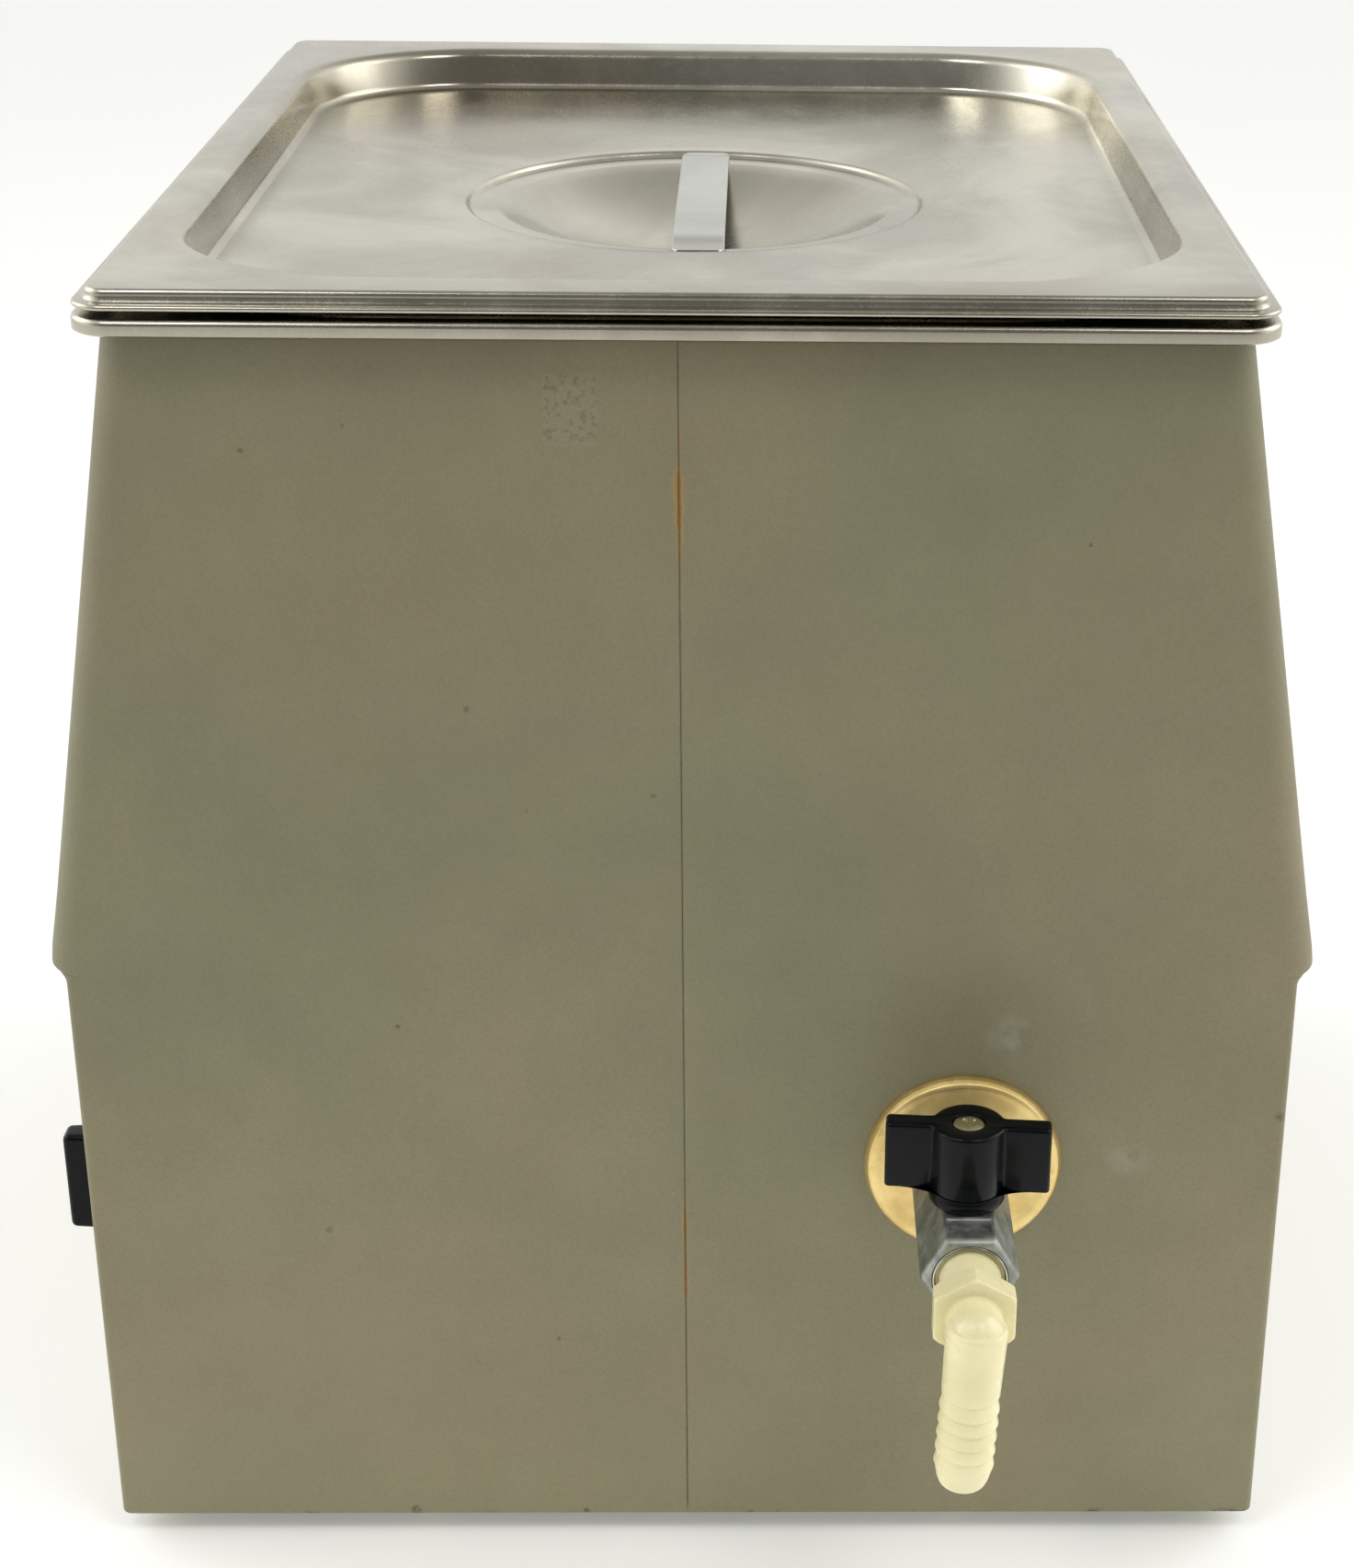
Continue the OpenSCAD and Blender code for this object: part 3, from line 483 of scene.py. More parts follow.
def seam_rust(look, colour, y, height, end):
    """A dark seam with rust beside it, ragged, and wide only where RUST_RUNS says."""
    off = look.apart(y, at_mm(0, SEAM_Y, 0).y)
    run = look.ramp(height, *[(h / MARKED_H, strength) for h, strength in RUST_RUNS])
    ragged = look.noise(330, 4, 0.65)
    reach = look.times(run, look.ramp(ragged, (0.3, 0.15), (0.7, 1)))

    def rust(width, outside, inside):
        edge = look.fade(look.maths("SUBTRACT", off, look.times(reach, width)), outside, inside)
        return look.times(edge, run, end)

    colour = look.mix(look.times(rust(0.0016, 0.0006, -0.0006), 0.75), colour, linear(158, 130, 66))
    colour = look.mix(rust(0.0009, 0.00025, -0.0003), colour, linear(138, 94, 28))
    line = look.times(look.fade(off, 0.0005, 0.0001), look.ramp(ragged, (0.3, 0.1), (0.7, 0.6)))
    return look.mix(line, colour, linear(92, 82, 56))


def end_marks(look, colour):
    """Dark specks and pale smudges on the drain end."""
    spots = None
    for y, z, r in SPECKS:
        spot = look.fade(look.distance(at_mm(END_X, y, z)), r * 1.1 * MM, r * 0.35 * MM)
        spots = look.maths("MAXIMUM", spots, spot) if spots else spot
    spots = look.times(spots, look.ramp(look.noise(900, 3), (0.35, 0.2), (0.6, 1)))
    colour = look.mix(look.times(spots, 0.8), colour, linear(88, 72, 40))
    for y, z, r in SMUDGES:
        smudge = look.fade(look.distance(at_mm(END_X, y, z)), r * MM, 0)
        smudge = look.times(smudge, look.ramp(look.noise(140, 4), (0.4, 0), (0.7, 0.5)))
        colour = look.mix(smudge, colour, linear(176, 178, 168))
    return colour


def residue(look, colour, y, z, end):
    """A faint rectangle with dark flakes."""
    middle_y, middle_z, half_y, half_z = RESIDUE
    centre = at_mm(0, middle_y, middle_z)
    sides = [look.fade(look.apart(along, at), half * MM, (half - 0.4) * MM)
             for along, at, half in ((y, centre.y, half_y), (z, centre.z, half_z))]
    patch = look.times(*sides, end)
    flakes = look.ramp(look.noise(620, 4, 0.7), (0.52, 0), (0.6, 1))
    colour = look.mix(look.times(patch, flakes, 0.6), colour, linear(88, 82, 58))
    return look.mix(look.times(patch, 0.04), colour, linear(190, 188, 170))


def powder_coat():
    look = Look("powder_coat")
    x, y, z = look.parts()
    height = look.maths("DIVIDE", z, MARKED_H * MM)
    end = look.fade(x, at_mm(END_X - 3, 0, 0).x, at_mm(END_X - 1, 0, 0).x)
    # the paint's own patches, with painted floor bounce low down and painted rim shadow near the top
    colour = paint_and_painted_shade(look, height)
    colour = seam_rust(look, colour, y, height, end)
    colour = end_marks(look, colour)
    colour = residue(look, colour, y, z, end)
    bottom_edge = look.fade(z, 0.0085, 0.0062)
    chips = look.times(bottom_edge, look.ramp(look.noise(90, 5, 0.7), (0.56, 0), (0.64, 1)))
    colour = look.mix(chips, colour, linear(74, 64, 44))
    bump = look.bump(look.noise(820, 3, 0.55), 0.32, 0.14)
    bump = look.bump(look.noise(2600, 2), 0.12, 0.05, bump)
    rough = look.ramp(look.noise(60, 4, 0.6), (0.3, 0.47), (0.7, 0.6))
    return look.set(colour=colour, rough=rough, bump=bump, specular=0.42)


def drawn_steel(name, light, dark, low, high, stains=1.0, brush=(1, 1, 1)):
    """Satin stainless sheet with water marks; brush stretches the grain."""
    look = Look(name)
    broad = look.noise(14, 4, 0.55, twist=0.8)
    colour = look.mix(look.fade(broad, 0.35, 0.68), linear(*dark), linear(*light))
    warm = look.times(look.fade(look.noise(9, 2, 0.5), 0.52, 0.7), 0.35 * stains)
    colour = look.mix(warm, colour, linear(150, 128, 104))
    warp = look.node("ShaderNodeTexNoise", {"Vector": look.here, "Scale": 60.0}).outputs["Color"]
    warped = look.vector("MULTIPLY_ADD", look.here, warp, (0.012, 0.012, 0.012))[0]
    rings = look.ramp(look.cells(26, warped), (0.3, 0), (0.36, 1), (0.42, 0))
    grain = look.noise(1300, 3, 0.6, look.stretch(*brush))
    rough = look.ramp(look.noise(34, 5, 0.65), (0.3, low), (0.7, high))
    ring_rough = high + 0.15
    rough = look.mix(look.times(rings, 0.25 * stains), rough, (ring_rough, ring_rough, ring_rough, 1))
    rough = look.mix(0.35, rough, look.ramp(grain, (0.3, low), (0.7, high)))
    bump = look.bump(grain, 0.1, 0.03)
    bump = look.bump(look.noise(11, 2), 0.5, 0.5, bump)
    return look.set(colour=colour, rough=rough, bump=bump, metal=1.0)


def turned_metal(name, light, dark, centre, low, high, spots):
    """Metal with fine rings about an axis along X, lightly tarnished."""
    look = Look(name)
    _, y, z = look.parts(look.vector("SUBTRACT", look.here, tuple(centre))[0])
    radius = look.maths("SQRT", look.maths("ADD", look.times(y, y), look.times(z, z)))
    lines = look.node("ShaderNodeCombineXYZ", {0: radius, 1: look.noise(20, 1), 2: 0.0}).outputs[0]
    grain = look.noise(2400, 3, 0.7, look.stretch(1, 0.002, 1, lines))
    cloud = look.noise(95, 4, 0.6)
    colour = look.mix(look.fade(cloud, 0.35, 0.7), linear(*dark), linear(*light))
    tarnish = look.times(look.fade(look.noise(210, 4, 0.65), 0.6, 0.72), spots)
    colour = look.mix(tarnish, colour, linear(*[c * 0.55 for c in dark]))
    rough = look.ramp(grain, (0.32, low), (0.68, high))
    return look.set(colour=colour, rough=rough, bump=look.bump(grain, 0.14, 0.03), metal=1.0)


def cast_metal(name, light, dark, low=0.34, high=0.52, pits=0.3):
    look = Look(name)
    cloud = look.noise(140, 5, 0.65)
    colour = look.mix(look.fade(cloud, 0.35, 0.68), linear(*dark), linear(*light))
    fine = look.noise(900, 3, 0.6)
    rough = look.ramp(look.noise(260, 4, 0.6), (0.3, low), (0.7, high))
    bump = look.bump(fine, pits, 0.06)
    bump = look.bump(look.noise(220, 3), pits, 0.2, bump)
    return look.set(colour=colour, rough=rough, bump=bump, metal=1.0)


def moulding(name, colour, other, low, high, grain=900, depth=0.03, coat=0, specular=0.5):
    """Plastic or rubber with faint colour clouds and a moulded grain."""
    look = Look(name)
    cloud = look.noise(120, 4, 0.6)
    shade = look.mix(look.fade(cloud, 0.35, 0.7), linear(*colour), linear(*other))
    rough = look.ramp(look.noise(75, 5, 0.65), (0.3, low), (0.7, high))
    bump = look.bump(look.noise(grain, 3, 0.6), 0.2, depth)
    return look.set(colour=shade, rough=rough, bump=bump, coat=coat, specular=specular)


def nylon():
    look = Look("natural_nylon")
    cloud = look.noise(70, 3, 0.5)
    colour = look.mix(look.fade(cloud, 0.3, 0.7), linear(226, 217, 170), linear(235, 227, 184))
    bump = look.bump(look.noise(700, 3, 0.5), 0.15, 0.04)
    rough = look.ramp(look.noise(90, 4), (0.3, 0.22), (0.7, 0.34))
    return look.set(colour=colour, rough=rough, bump=bump, under=0.22, under_scale=0.003,
                    under_radius=(1.0, 0.85, 0.5))


def felt(name, colour, other):
    look = Look(name)
    shade = look.mix(look.noise(60, 4), linear(*colour), linear(*other))
    fibres = look.noise(1100, 4, 0.7)
    return look.set(colour=shade, rough=0.95, bump=look.bump(fibres, 0.6, 0.4), sheen=0.2)


PAINT = powder_coat()
LID_STEEL = drawn_steel("lid_steel", (196, 192, 178), (166, 162, 148), 0.15, 0.32)
RIM_STEEL = drawn_steel("rim_steel", (196, 190, 176), (170, 164, 150), 0.16, 0.32, 0.4)
STRAP_STEEL = drawn_steel("strap_steel", (205, 205, 200), (186, 186, 180), 0.3, 0.46, 0.1, (1, 30, 1))
ZINC = cast_metal("zinc_sheet", (150, 152, 152), (122, 124, 124), 0.35, 0.5, 0.1)
NICKEL = cast_metal("valve_metal", (176, 178, 172), (134, 138, 132), 0.42, 0.6, 0.35)
BRIGHT = turned_metal("bright_metal", (212, 210, 200), (180, 178, 168), at_mm(0, VALVE_Y, VALVE_Z),
                      0.1, 0.22, 0.1)
BRASS_PLATE = turned_metal("brass_plate", (240, 216, 152), (216, 188, 124), at_mm(*middle("escutcheon")),
                           0.36, 0.52, 0.3)
BRASS = cast_metal("plain_brass", (214, 184, 112), (176, 146, 84), 0.25, 0.4, 0.08)
COPPER = cast_metal("copper_tube", (206, 140, 108), (170, 104, 76), 0.25, 0.4, 0.05)
SCREW = cast_metal("screw_metal", (228, 222, 190), (190, 184, 150), 0.3, 0.46, 0.08)
BLACK = moulding("black_phenolic", (5, 6, 10), (9, 11, 15), 0.16, 0.3, 500, 0.015, 0.06, 0.12)
MATT_BLACK = moulding("matt_black", (20, 20, 22), (30, 30, 32), 0.45, 0.6, 1400, 0.04)
RED = moulding("red_moulding", (150, 22, 16), (128, 14, 12), 0.25, 0.38)
GREY = moulding("grey_moulding", (196, 196, 190), (184, 184, 178), 0.4, 0.55)
IVORY = moulding("ivory_moulding", (222, 216, 190), (210, 203, 174), 0.4, 0.55)
SEAL = moulding("seal_plastic", (236, 236, 230), (224, 224, 218), 0.4, 0.55)
RUBBER = moulding("black_rubber", (22, 22, 22), (34, 33, 31), 0.6, 0.8, 700, 0.08)
PAD = moulding("heater_silicone", (178, 84, 42), (158, 68, 32), 0.5, 0.65)
WIRE = moulding("wire_cover", (86, 86, 86), (70, 70, 70), 0.45, 0.6)
DIAL_STEEL = drawn_steel("scale_steel", (190, 190, 186), (178, 178, 174), 0.3, 0.42, 0.0, (1, 1, 40))
INK = moulding("dial_ink", (14, 14, 15), (20, 20, 22), 0.5, 0.6)
FIBRE = felt("fibre_blanket", (228, 226, 214), (212, 209, 196))
NYLON = nylon()


def amber():
    look = Look("amber_lens")
    colour = look.mix(look.noise(200, 3), linear(226, 116, 30), linear(206, 92, 20))
    return look.set(colour=colour, rough=look.ramp(look.noise(150, 3), (0.3, 0.08), (0.7, 0.18)), clear=0.45,
                    bump=look.bump(look.cells(900), 0.2, 0.1))


AMBER = amber()


# ---- Housing shells ----


def shell_profile():
    """The folded sheet's section as (inset along X, half width, corner radius, height), going round once."""
    low, high = SHELL_LOW, SHELL_TOP
    fold, hem, top_lip = 1.4, 12, 5.4
    slope = (STEP_W - TOP_W) / (high - LEDGE_Z)
    outer = [(hem, LOWER_W - hem, LOWER_R, low), (fold + 0.2, LOWER_W - fold - 0.2, LOWER_R, low)]
    for i in range(1, 6):
        a = math.pi / 2 * i / 5
        inset = fold * (1 - math.sin(a))
        outer.append((inset, LOWER_W - inset, LOWER_R, low + fold * (1 - math.cos(a))))
    step = [(LOWER_W, LEDGE_Z - 8), (LOWER_W, LEDGE_Z - 1.2), (STEP_W - 0.2, LEDGE_Z + 0.8),
            (STEP_W - 0.14 - slope * 4, LEDGE_Z + 6), (STEP_W - slope * 20, LEDGE_Z + 20)]
    for w, z in fillet(step, [1.4, 1.8, 4], 6)[1:]:
        blend = min(1, max(0, (w - LOWER_W) / 3)) if z < LEDGE_Z + 5 else 1
        outer.append((0, w, LOWER_R + (UPPER_R - LOWER_R) * blend, z))
    for z in (210, 250, 290, 320):
        outer.append((0, STEP_W - slope * (z - LEDGE_Z), UPPER_R, z))
    for i in range(5):
        a = math.pi / 2 * i / 4
        inset = SHEET * (1 - math.cos(a))
        half_w = TOP_W - inset + slope * SHEET * (1 - i / 4)
        outer.append((inset, half_w, UPPER_R - inset, high - SHEET * (1 - math.sin(a))))
    outer.append((2, TOP_W - top_lip, UPPER_R - 2, high))
    inner_r = UPPER_R - SHEET
    inner = [(2, TOP_W - top_lip, UPPER_R - 2, high - SHEET)]
    inner += [(1.25, TOP_W - 1.4, UPPER_R - 1.3, high - SHEET)]
    inner += [(SHEET, w, inner_r, z) for w, z in ((TOP_W - SHEET + slope * 2, high - 3),
                                                  (STEP_W - 1.3 - slope * 6, LEDGE_Z + 7),
                                                  (STEP_W - 2.6, LEDGE_Z + 2.3))]
    inner += [(SHEET, LOWER_W - SHEET, SHEET, z) for z in (LEDGE_Z + 0.3, low + 2.6)]
    inner += [(d, LOWER_W - d, SHEET, low + SHEET) for d in (2, hem)]
    return outer + inner


def shell_path(half_x, half_y, r, cut, front):
    """Half of the way round the housing, from the +X seam to the -X seam."""
    sign = -1 if front else 1
    r = max(r, 0.05)
    near_seam, steps = (0, 0.25, 6, 60), 10
    points = [(half_x, cut + sign * d) for d in near_seam]
    for k, sx in enumerate((1, -1)):
        cx, cy = sx * (half_x - r), sign * (half_y - r)
        for i in range(steps + 1):
            a = math.pi / 2 * (i / steps + k)
            points.append((cx + r * math.cos(a), cy + sign * r * math.sin(a)))
        if k == 0:
            points += [(half_x * t, sign * half_y) for t in (0.66, 0.33, 0, -0.33, -0.66)]
    return points + [(-half_x, cut + sign * d) for d in reversed(near_seam)]


def shell(name, front, cutters):
    gap = -SEAM_GAP / 2 if front else SEAM_GAP / 2
    profile = shell_profile()
    paths = [shell_path(END_X - inset, w, r, SEAM_Y + gap, front) for inset, w, r, z in profile]
    count = len(paths[0])
    verts = []
    for (inset, w, r, z), path in zip(profile, paths):
        # the outer edges at the seam turn in slightly
        turned_in = 0.12 if inset < 1.1 else 0
        for i, (x, y) in enumerate(path):
            at_seam = i in (0, count - 1)
            verts.append((x - math.copysign(turned_in, x) * at_seam, y, z))
    n = len(profile)
    faces = []
    for j in range(n):
        a, b = j * count, ((j + 1) % n) * count
        faces += [(a + i, a + i + 1, b + i + 1, b + i) for i in range(count - 1)]
    faces += [tuple(j * count + end for j in range(n)) for end in (0, count - 1)]
    obj = make(name, verts, faces, 28)
    return combine(obj, cutters, angle=28)


def panel_hole(x, z, r, side):
    """A round cutter through the front sheet (side -1) or the rear one (side 1)."""
    y = side * LOWER_W
    return rod("cut", (x, y - 5, z), (x, y + 5, z), r)


def panel_opening(x, z, half_x, half_z, side):
    y = side * LOWER_W
    return block("cut", (x - half_x, y - 4, z - half_z), (x + half_x, y + 4, z + half_z))


def vent_slot(x, z, w, h, side):
    """A slot with round ends, through the front or rear sheet."""
    y = side * LOWER_W
    r = w / 2 - 0.01
    outline = []
    for up, start in ((1, 0), (-1, math.pi)):
        for k in range(9):
            a = start + math.pi * k / 8
            outline.append((x + r * math.cos(a), z + (h / 2 - r) * up + r * math.sin(a)))
    rings = [[(px, y + d, pz) for px, pz in outline] for d in (-5, 5)]
    return make("cut", *loft(rings, True, True))


def front_cutters():
    lamp_x = middle("pilot_lamp").x
    return [panel_hole(KNOB.x, CONTROL_Z, 5.15, -1), panel_hole(lamp_x, CONTROL_Z, 5.2, -1),
            panel_opening(SWITCH_X, CONTROL_Z, 11.2, 14.2, -1)]


def rear_cutters():
    cuts = [vent_slot(22.5 + i * 14, 63 + row * 50, 5, 36, 1) for i in range(8) for row in (0, 1)]
    cuts += [panel_opening(INLET.x, INLET.z, 14, 10.2, 1), panel_hole(FUSE.x, FUSE.z, 6.4, 1)]
    cuts += [panel_hole(INLET.x + side * INLET_SCREW_X, INLET.z, 1.7, 1) for side in (-1, 1)]
    return cuts + [valve_bore(END_X - 6, END_X + 6, 9)]


finish_piece(shell("shell_front", True, front_cutters()), PAINT, "housing", ["front_shell"])
finish_piece(shell("shell_rear", False, rear_cutters()), PAINT, "housing", ["rear_shell"])


# ---- Tank and lid ----


def section_rings(shape, line, **how):
    """Rings along a section of (outward offset from shape, height)."""
    half_x, half_y, r = shape
    return [ring(half_x + d, half_y + d, max(r + d, 0.1), z, **how) for d, z in line]


def tank_piece():
    rim = (RIM_L, RIM_W, RIM_R)
    fine = {"corner": 12, "side": (10, 8)}
    foot_r, draft = 20, math.radians(3)
    flange_z = RIM_Z + FLANGE_UP
    edge = [(-1, -3.4), (-0.5, -3.75), (0, -3.4)] + [(-1.3 + x, z) for x, z in arc(0, -1.3, 1.3, 0, 90, 6)]
    top = section_rings(rim, [(x, flange_z + z) for x, z in edge], **fine)
    lean = math.tan(draft) * (TANK_DEEP - 2 - foot_r)
    mouth = [(9.2, 1), (8.6, 1.2), (8.2, BEAD_H), (7.0, BEAD_H), (2, BEAD_H), (0.9, 1.25), (0.2, 0.6),
             (0, -0.4), (-0.3, -6)]
    wall = [(-0.3 - lean * t, -6 - 124 * t) for t in (0.25, 0.5, 0.75, 1)]
    wall_x, wall_z = wall[-1]
    foot = [(wall_x - foot_r + foot_r * math.cos(a), wall_z - 19.9 * math.sin(a))
            for a in degrees(10, 100, 10)]
    line = mouth + wall + foot
    under = [(line[-1][0], line[-1][1] - TANK_T)]
    under += [(x + TANK_T * 0.9, z - TANK_T * 0.5) for x, z in reversed(foot[:-1])]
    under += [(x + TANK_T, z) for x, z in reversed(wall)]
    under += [(0.9, -1), (2.2, 0.8), (7.4, 0.8), (7.9, 0.1)]
    top += section_rings(MOUTH, [(x, RIM_Z + z) for x, z in line], **fine)
    bottom = section_rings(MOUTH, [(x, RIM_Z + z) for x, z in under], **fine)
    bottom += section_rings(rim, [(-1.6, flange_z - TANK_T), (-1, flange_z - 1.5)], **fine)
    verts, faces = loft(top + bottom, wrap=True)
    count = len(top[0])
    # the floor is closed above and below instead of by a wall between the two sheets
    seam = (len(top) - 1) * count
    faces = [f for f in faces if not seam <= f[0] < seam + count]
    faces.append(tuple(seam + i for i in range(count)))
    faces.append(tuple(seam + count + i for i in reversed(range(count))))
    obj = make("tank_pan", verts, faces)
    drain, drain_r, floor_z = middle("drain_flange"), 10.5, RIM_Z - TANK_DEEP
    hole = rod("cut", (drain.x, drain.y, floor_z - 6), (drain.x, drain.y, floor_z + 6), drain_r)
    return combine(obj, [hole])


finish_piece(tank_piece(), RIM_STEEL, "housing", ["tank"])


def wobble(x, y):
    """Slight unevenness of the drawn lid panel, in millimetres."""
    broad = noise.noise(Vector((x / 70, y / 70, 3.1)))
    fine = noise.noise(Vector((x / 24, y / 24, 8.4)))
    return 0.22 * broad + 0.07 * fine


def lid_edge():
    """The rolled lip, from under the lid up to its top: (offset from LID, height below the top)."""
    lip = LIP_W - 0.5
    edge = [(0.3, -EDGE_H), (lip, -EDGE_H)] + arc(lip, -EDGE_H + 0.7, 0.7, -60, 90, 5)
    edge += [(1.2, -EDGE_H + 1.4), (0.5, -EDGE_H + 1.65), (0.1, -EDGE_H + 2.3), (0, -1.5)]
    return edge + arc(-1.2, -1.2, 1.2, 0, 90, 6)


def lid_panel():
    """The wall down to the sunken panel and the round foot of the wall: (offset from PANEL, height)."""
    wall = [(3.5 - 3.4 * math.sin(a), -3.2 * (1 - math.cos(a))) for a in degrees(10, 90, 10)]
    foot = [(-1.35 - FOOT_R * (1 - math.cos(a)), -PANEL_DEEP + FOOT_R * (1 - math.sin(a)))
            for a in degrees(0, 105, 15)]
    return [(3.6, 0)] + wall + foot + [(-5.9, -PANEL_DEEP)]


def lid_dish():
    """The bowl with the ledge round it: (radius, height below the panel)."""
    edge = ((6, 0), (0.9, 0), (0.45, 0.08), (0.1, 0.32), (-0.25, 0.85), (-0.6, 1.3), (-1.1, 1.54),
            (-1.7, LEDGE_DROP))
    dish = [(DISH_R + out, -down) for out, down in edge]
    dish += [(BOWL_R + 1.5, -LEDGE_DROP), (BOWL_R + 0.7, -LEDGE_DROP - 0.1)]
    ball = (BOWL_R ** 2 + DISH_DEEP ** 2) / (2 * DISH_DEEP)
    half = math.asin(BOWL_R / ball)
    for i in range(1, 15):
        a = half * (1 - i / 14.6)
        dish.append((ball * math.sin(a), -LEDGE_DROP - DISH_DEEP + ball * (1 - math.cos(a))))
    return dish


def lid_piece():
    fine = {"corner": 16, "side": (12, 10)}
    angles = [math.atan2(y, x) for x, y in ring_path(*PANEL, **fine)]
    floor_z = LID_Z - PANEL_DEEP
    dish_z = floor_z - LID_SAG
    bottom = dish_z - LEDGE_DROP - DISH_DEEP
    flat = [(-x, -PANEL_DEEP - LID_SAG * min(1, (x - 6) / 44)) for x in (9, 14, 20, 27, 35)]
    foot_under = [(-5.9, floor_z - LID_T), (-3, floor_z - 0.85), (-1, floor_z + 0.1), (-0.2, floor_z + 2.2),
                  (1.2, LID_Z - 3.4), (2.4, LID_Z - 1.5), (3.6, LID_Z - LID_T)]
    lip_under = [(-1.4, LID_Z - LID_T), (-1, LID_Z - 1.4), (-1, LID_Z - EDGE_H + 0.8)]

    def bowl(line, drop=0):
        return [[(r * math.cos(a), r * math.sin(a), dish_z + z - drop) for a in angles] for r, z in line]

    rings = section_rings(LID, [(x, LID_Z + z) for x, z in lid_edge()], **fine)
    rings += section_rings(PANEL, [(x, LID_Z + z) for x, z in lid_panel() + flat], **fine)
    rings += bowl(lid_dish())
    top_last = len(rings) - 1
    rings += bowl(reversed(lid_dish()), LID_T)
    rings += section_rings(PANEL, [(x, LID_Z + z - LID_T) for x, z in reversed(flat)] + foot_under, **fine)
    rings += section_rings(LID, lip_under, **fine)
    for line in rings[12:-3]:
        for i, (x, y, z) in enumerate(line):
            if bottom + 2 < z < floor_z + 0.5:
                line[i] = (x, y, z + wobble(x, y))
    verts, faces = loft(rings, wrap=True)
    count = len(rings[0])
    # the bowl is closed above and below instead of by a wall between the two sheets
    seam = top_last * count
    faces = [f for f in faces if not seam <= f[0] < seam + count]
    for start in (seam, seam + count):
        centre = len(verts)
        verts.append((0, 0, sum(p[2] for p in verts[start:start + count]) / count - 0.03))
        faces += [(start + i, start + (i + 1) % count, centre) for i in range(count)]
    return make("lid_cover", verts, faces)


finish_piece(lid_piece(), LID_STEEL, "lid", ["lid"])


def strap_section(x, mid_y, w, base, t, dent):
    """The strap's outline across at x: round corners, and a dent on top where it is pressed on."""
    r = 0.4
    section = []
    for sy, sz, start in ((1, 1, 0), (-1, 1, 90), (-1, -1, 180), (1, -1, 270)):
        cy, cz = mid_y + sy * (w - r), base + t / 2 + sz * (t / 2 - r)
        section += [(x, cy + r * math.cos(a), cz + r * math.sin(a)) for a in degrees(start, start + 120, 30)]
        if start == 0:
            for q in (0.6, 0.3, 0, -0.3, -0.6):
                section.append((x, mid_y + w * q, base + t - dent * math.exp(-(abs(q) - 0.35) ** 2 * 30)))
        if start == 180:
            section += [(x, mid_y + w * q, base) for q in (-0.6, -0.3, 0, 0.3, 0.6)]
    return section


def strap_piece():
    low, high = low_of("lid_strap"), high_of("lid_strap")
    reach = high.x - 0.05
    half_w = (high.y - low.y) / 2 - 0.05
    rise, steps = 1.3, 60
    rings = []
    for i in range(steps + 1):
        x = -reach + 2 * reach * i / steps
        from_end = reach - abs(x)
        lift = min(1, max(0, (from_end - 5.5) / 5))
        lift = lift * lift * (3 - 2 * lift) * rise
        dent = 0.25 * math.exp(-((3.2 - from_end) / 1.2) ** 2)
        end = min(1, from_end / 1.5)
        w = half_w - 1.2 * (1 - math.sqrt(max(0, 1 - (1 - end) ** 2)))
        rings.append(strap_section(x, (high.y + low.y) / 2, w, low.z - LID_SAG + lift, 1.5, dent))
    return make("strap", *loft(rings, True, True))


finish_piece(strap_piece(), STRAP_STEEL, "lid", ["lid_strap"])


# ---- Valve ----


def escutcheon_piece():
    centre = middle("escutcheon")
    low, high = low_of("escutcheon").x, high_of("escutcheon").x
    hole_r, r = 10.6, high_of("escutcheon").z - centre.z
    t = high - low
    dish = [(hole_r, t * 0.78), (14, t * 0.8), (17, t * 0.84), (19, t * 0.89)]
    crown = [(20.4, t * 0.95), (21.6, t), (22.8, t * 0.99), (23.7, t * 0.86), (24.3, t * 0.55), (r, t * 0.22),
             (r, 0)]
    outline = fillet(dish + crown, [3, 3, 3, 2, 1, 1, 1, 1, 0.6], 4) + [(hole_r, 0)]
    return turned("drain_plate", outline, (low, centre.y, centre.z), TO_X, 96)


finish_piece(escutcheon_piece(), BRASS_PLATE, "housing", ["escutcheon"])


def hexagon(x, corner, start):
    """Six points round the valve's axis; start turns a corner to the side (0) or to the top (90)."""
    points = []
    for a in degrees(0, 360, 60):
        side, up = (math.cos(a), math.sin(a)) if start == 0 else (math.sin(a), math.cos(a))
        points.append((x, VALVE_Y + corner * side, VALVE_Z + corner * up))
    return points


def valve_body_piece():
    back, front = low_of("valve_body").x, high_of("valve_body").x
    flat = high_of("valve_body").z - VALVE_Z
    corner = flat / math.cos(math.radians(30))
    stations = [(back + 3.2, 0.9), (back + 4.1, 1), (front - 1.2, 1), (front, 0.93)]
    rings = [hexagon(x, corner * share, 0) for x, share in stations]
    body = make("ball_valve_body", *loft(rings, True, True))
    round_edges(body, 0.9, 4, 25)
    collar = valve_turned("cut", [(0, 0), (9.3, 0), (9.6, 0.4), (9.6, 4.6), (0, 4.6)], back, 64)
    combine(body, [collar], "UNION")
    top = VALVE_Z + flat
    pocket = block("cut", (front - 10.5, VALVE_Y - 5.4, top - 0.7), (front - 3.8, VALVE_Y + 5.4, top + 2))
    round_edges(pocket, 0.5, 3)
    holes = [valve_bore(back - 1, END_X + 19.4, 8.35), valve_bore(back + 3, front + 1, 5),
             valve_bore(HANDLE.x - 8.4, front + 1, 9.05),
             rod("cut", (HANDLE.x, VALVE_Y, VALVE_Z), (HANDLE.x, VALVE_Y, VALVE_Z + 20), 3.05), pocket]
    return combine(body, holes, angle=30)


finish_piece(valve_body_piece(), NICKEL, "housing", ["valve_body"])


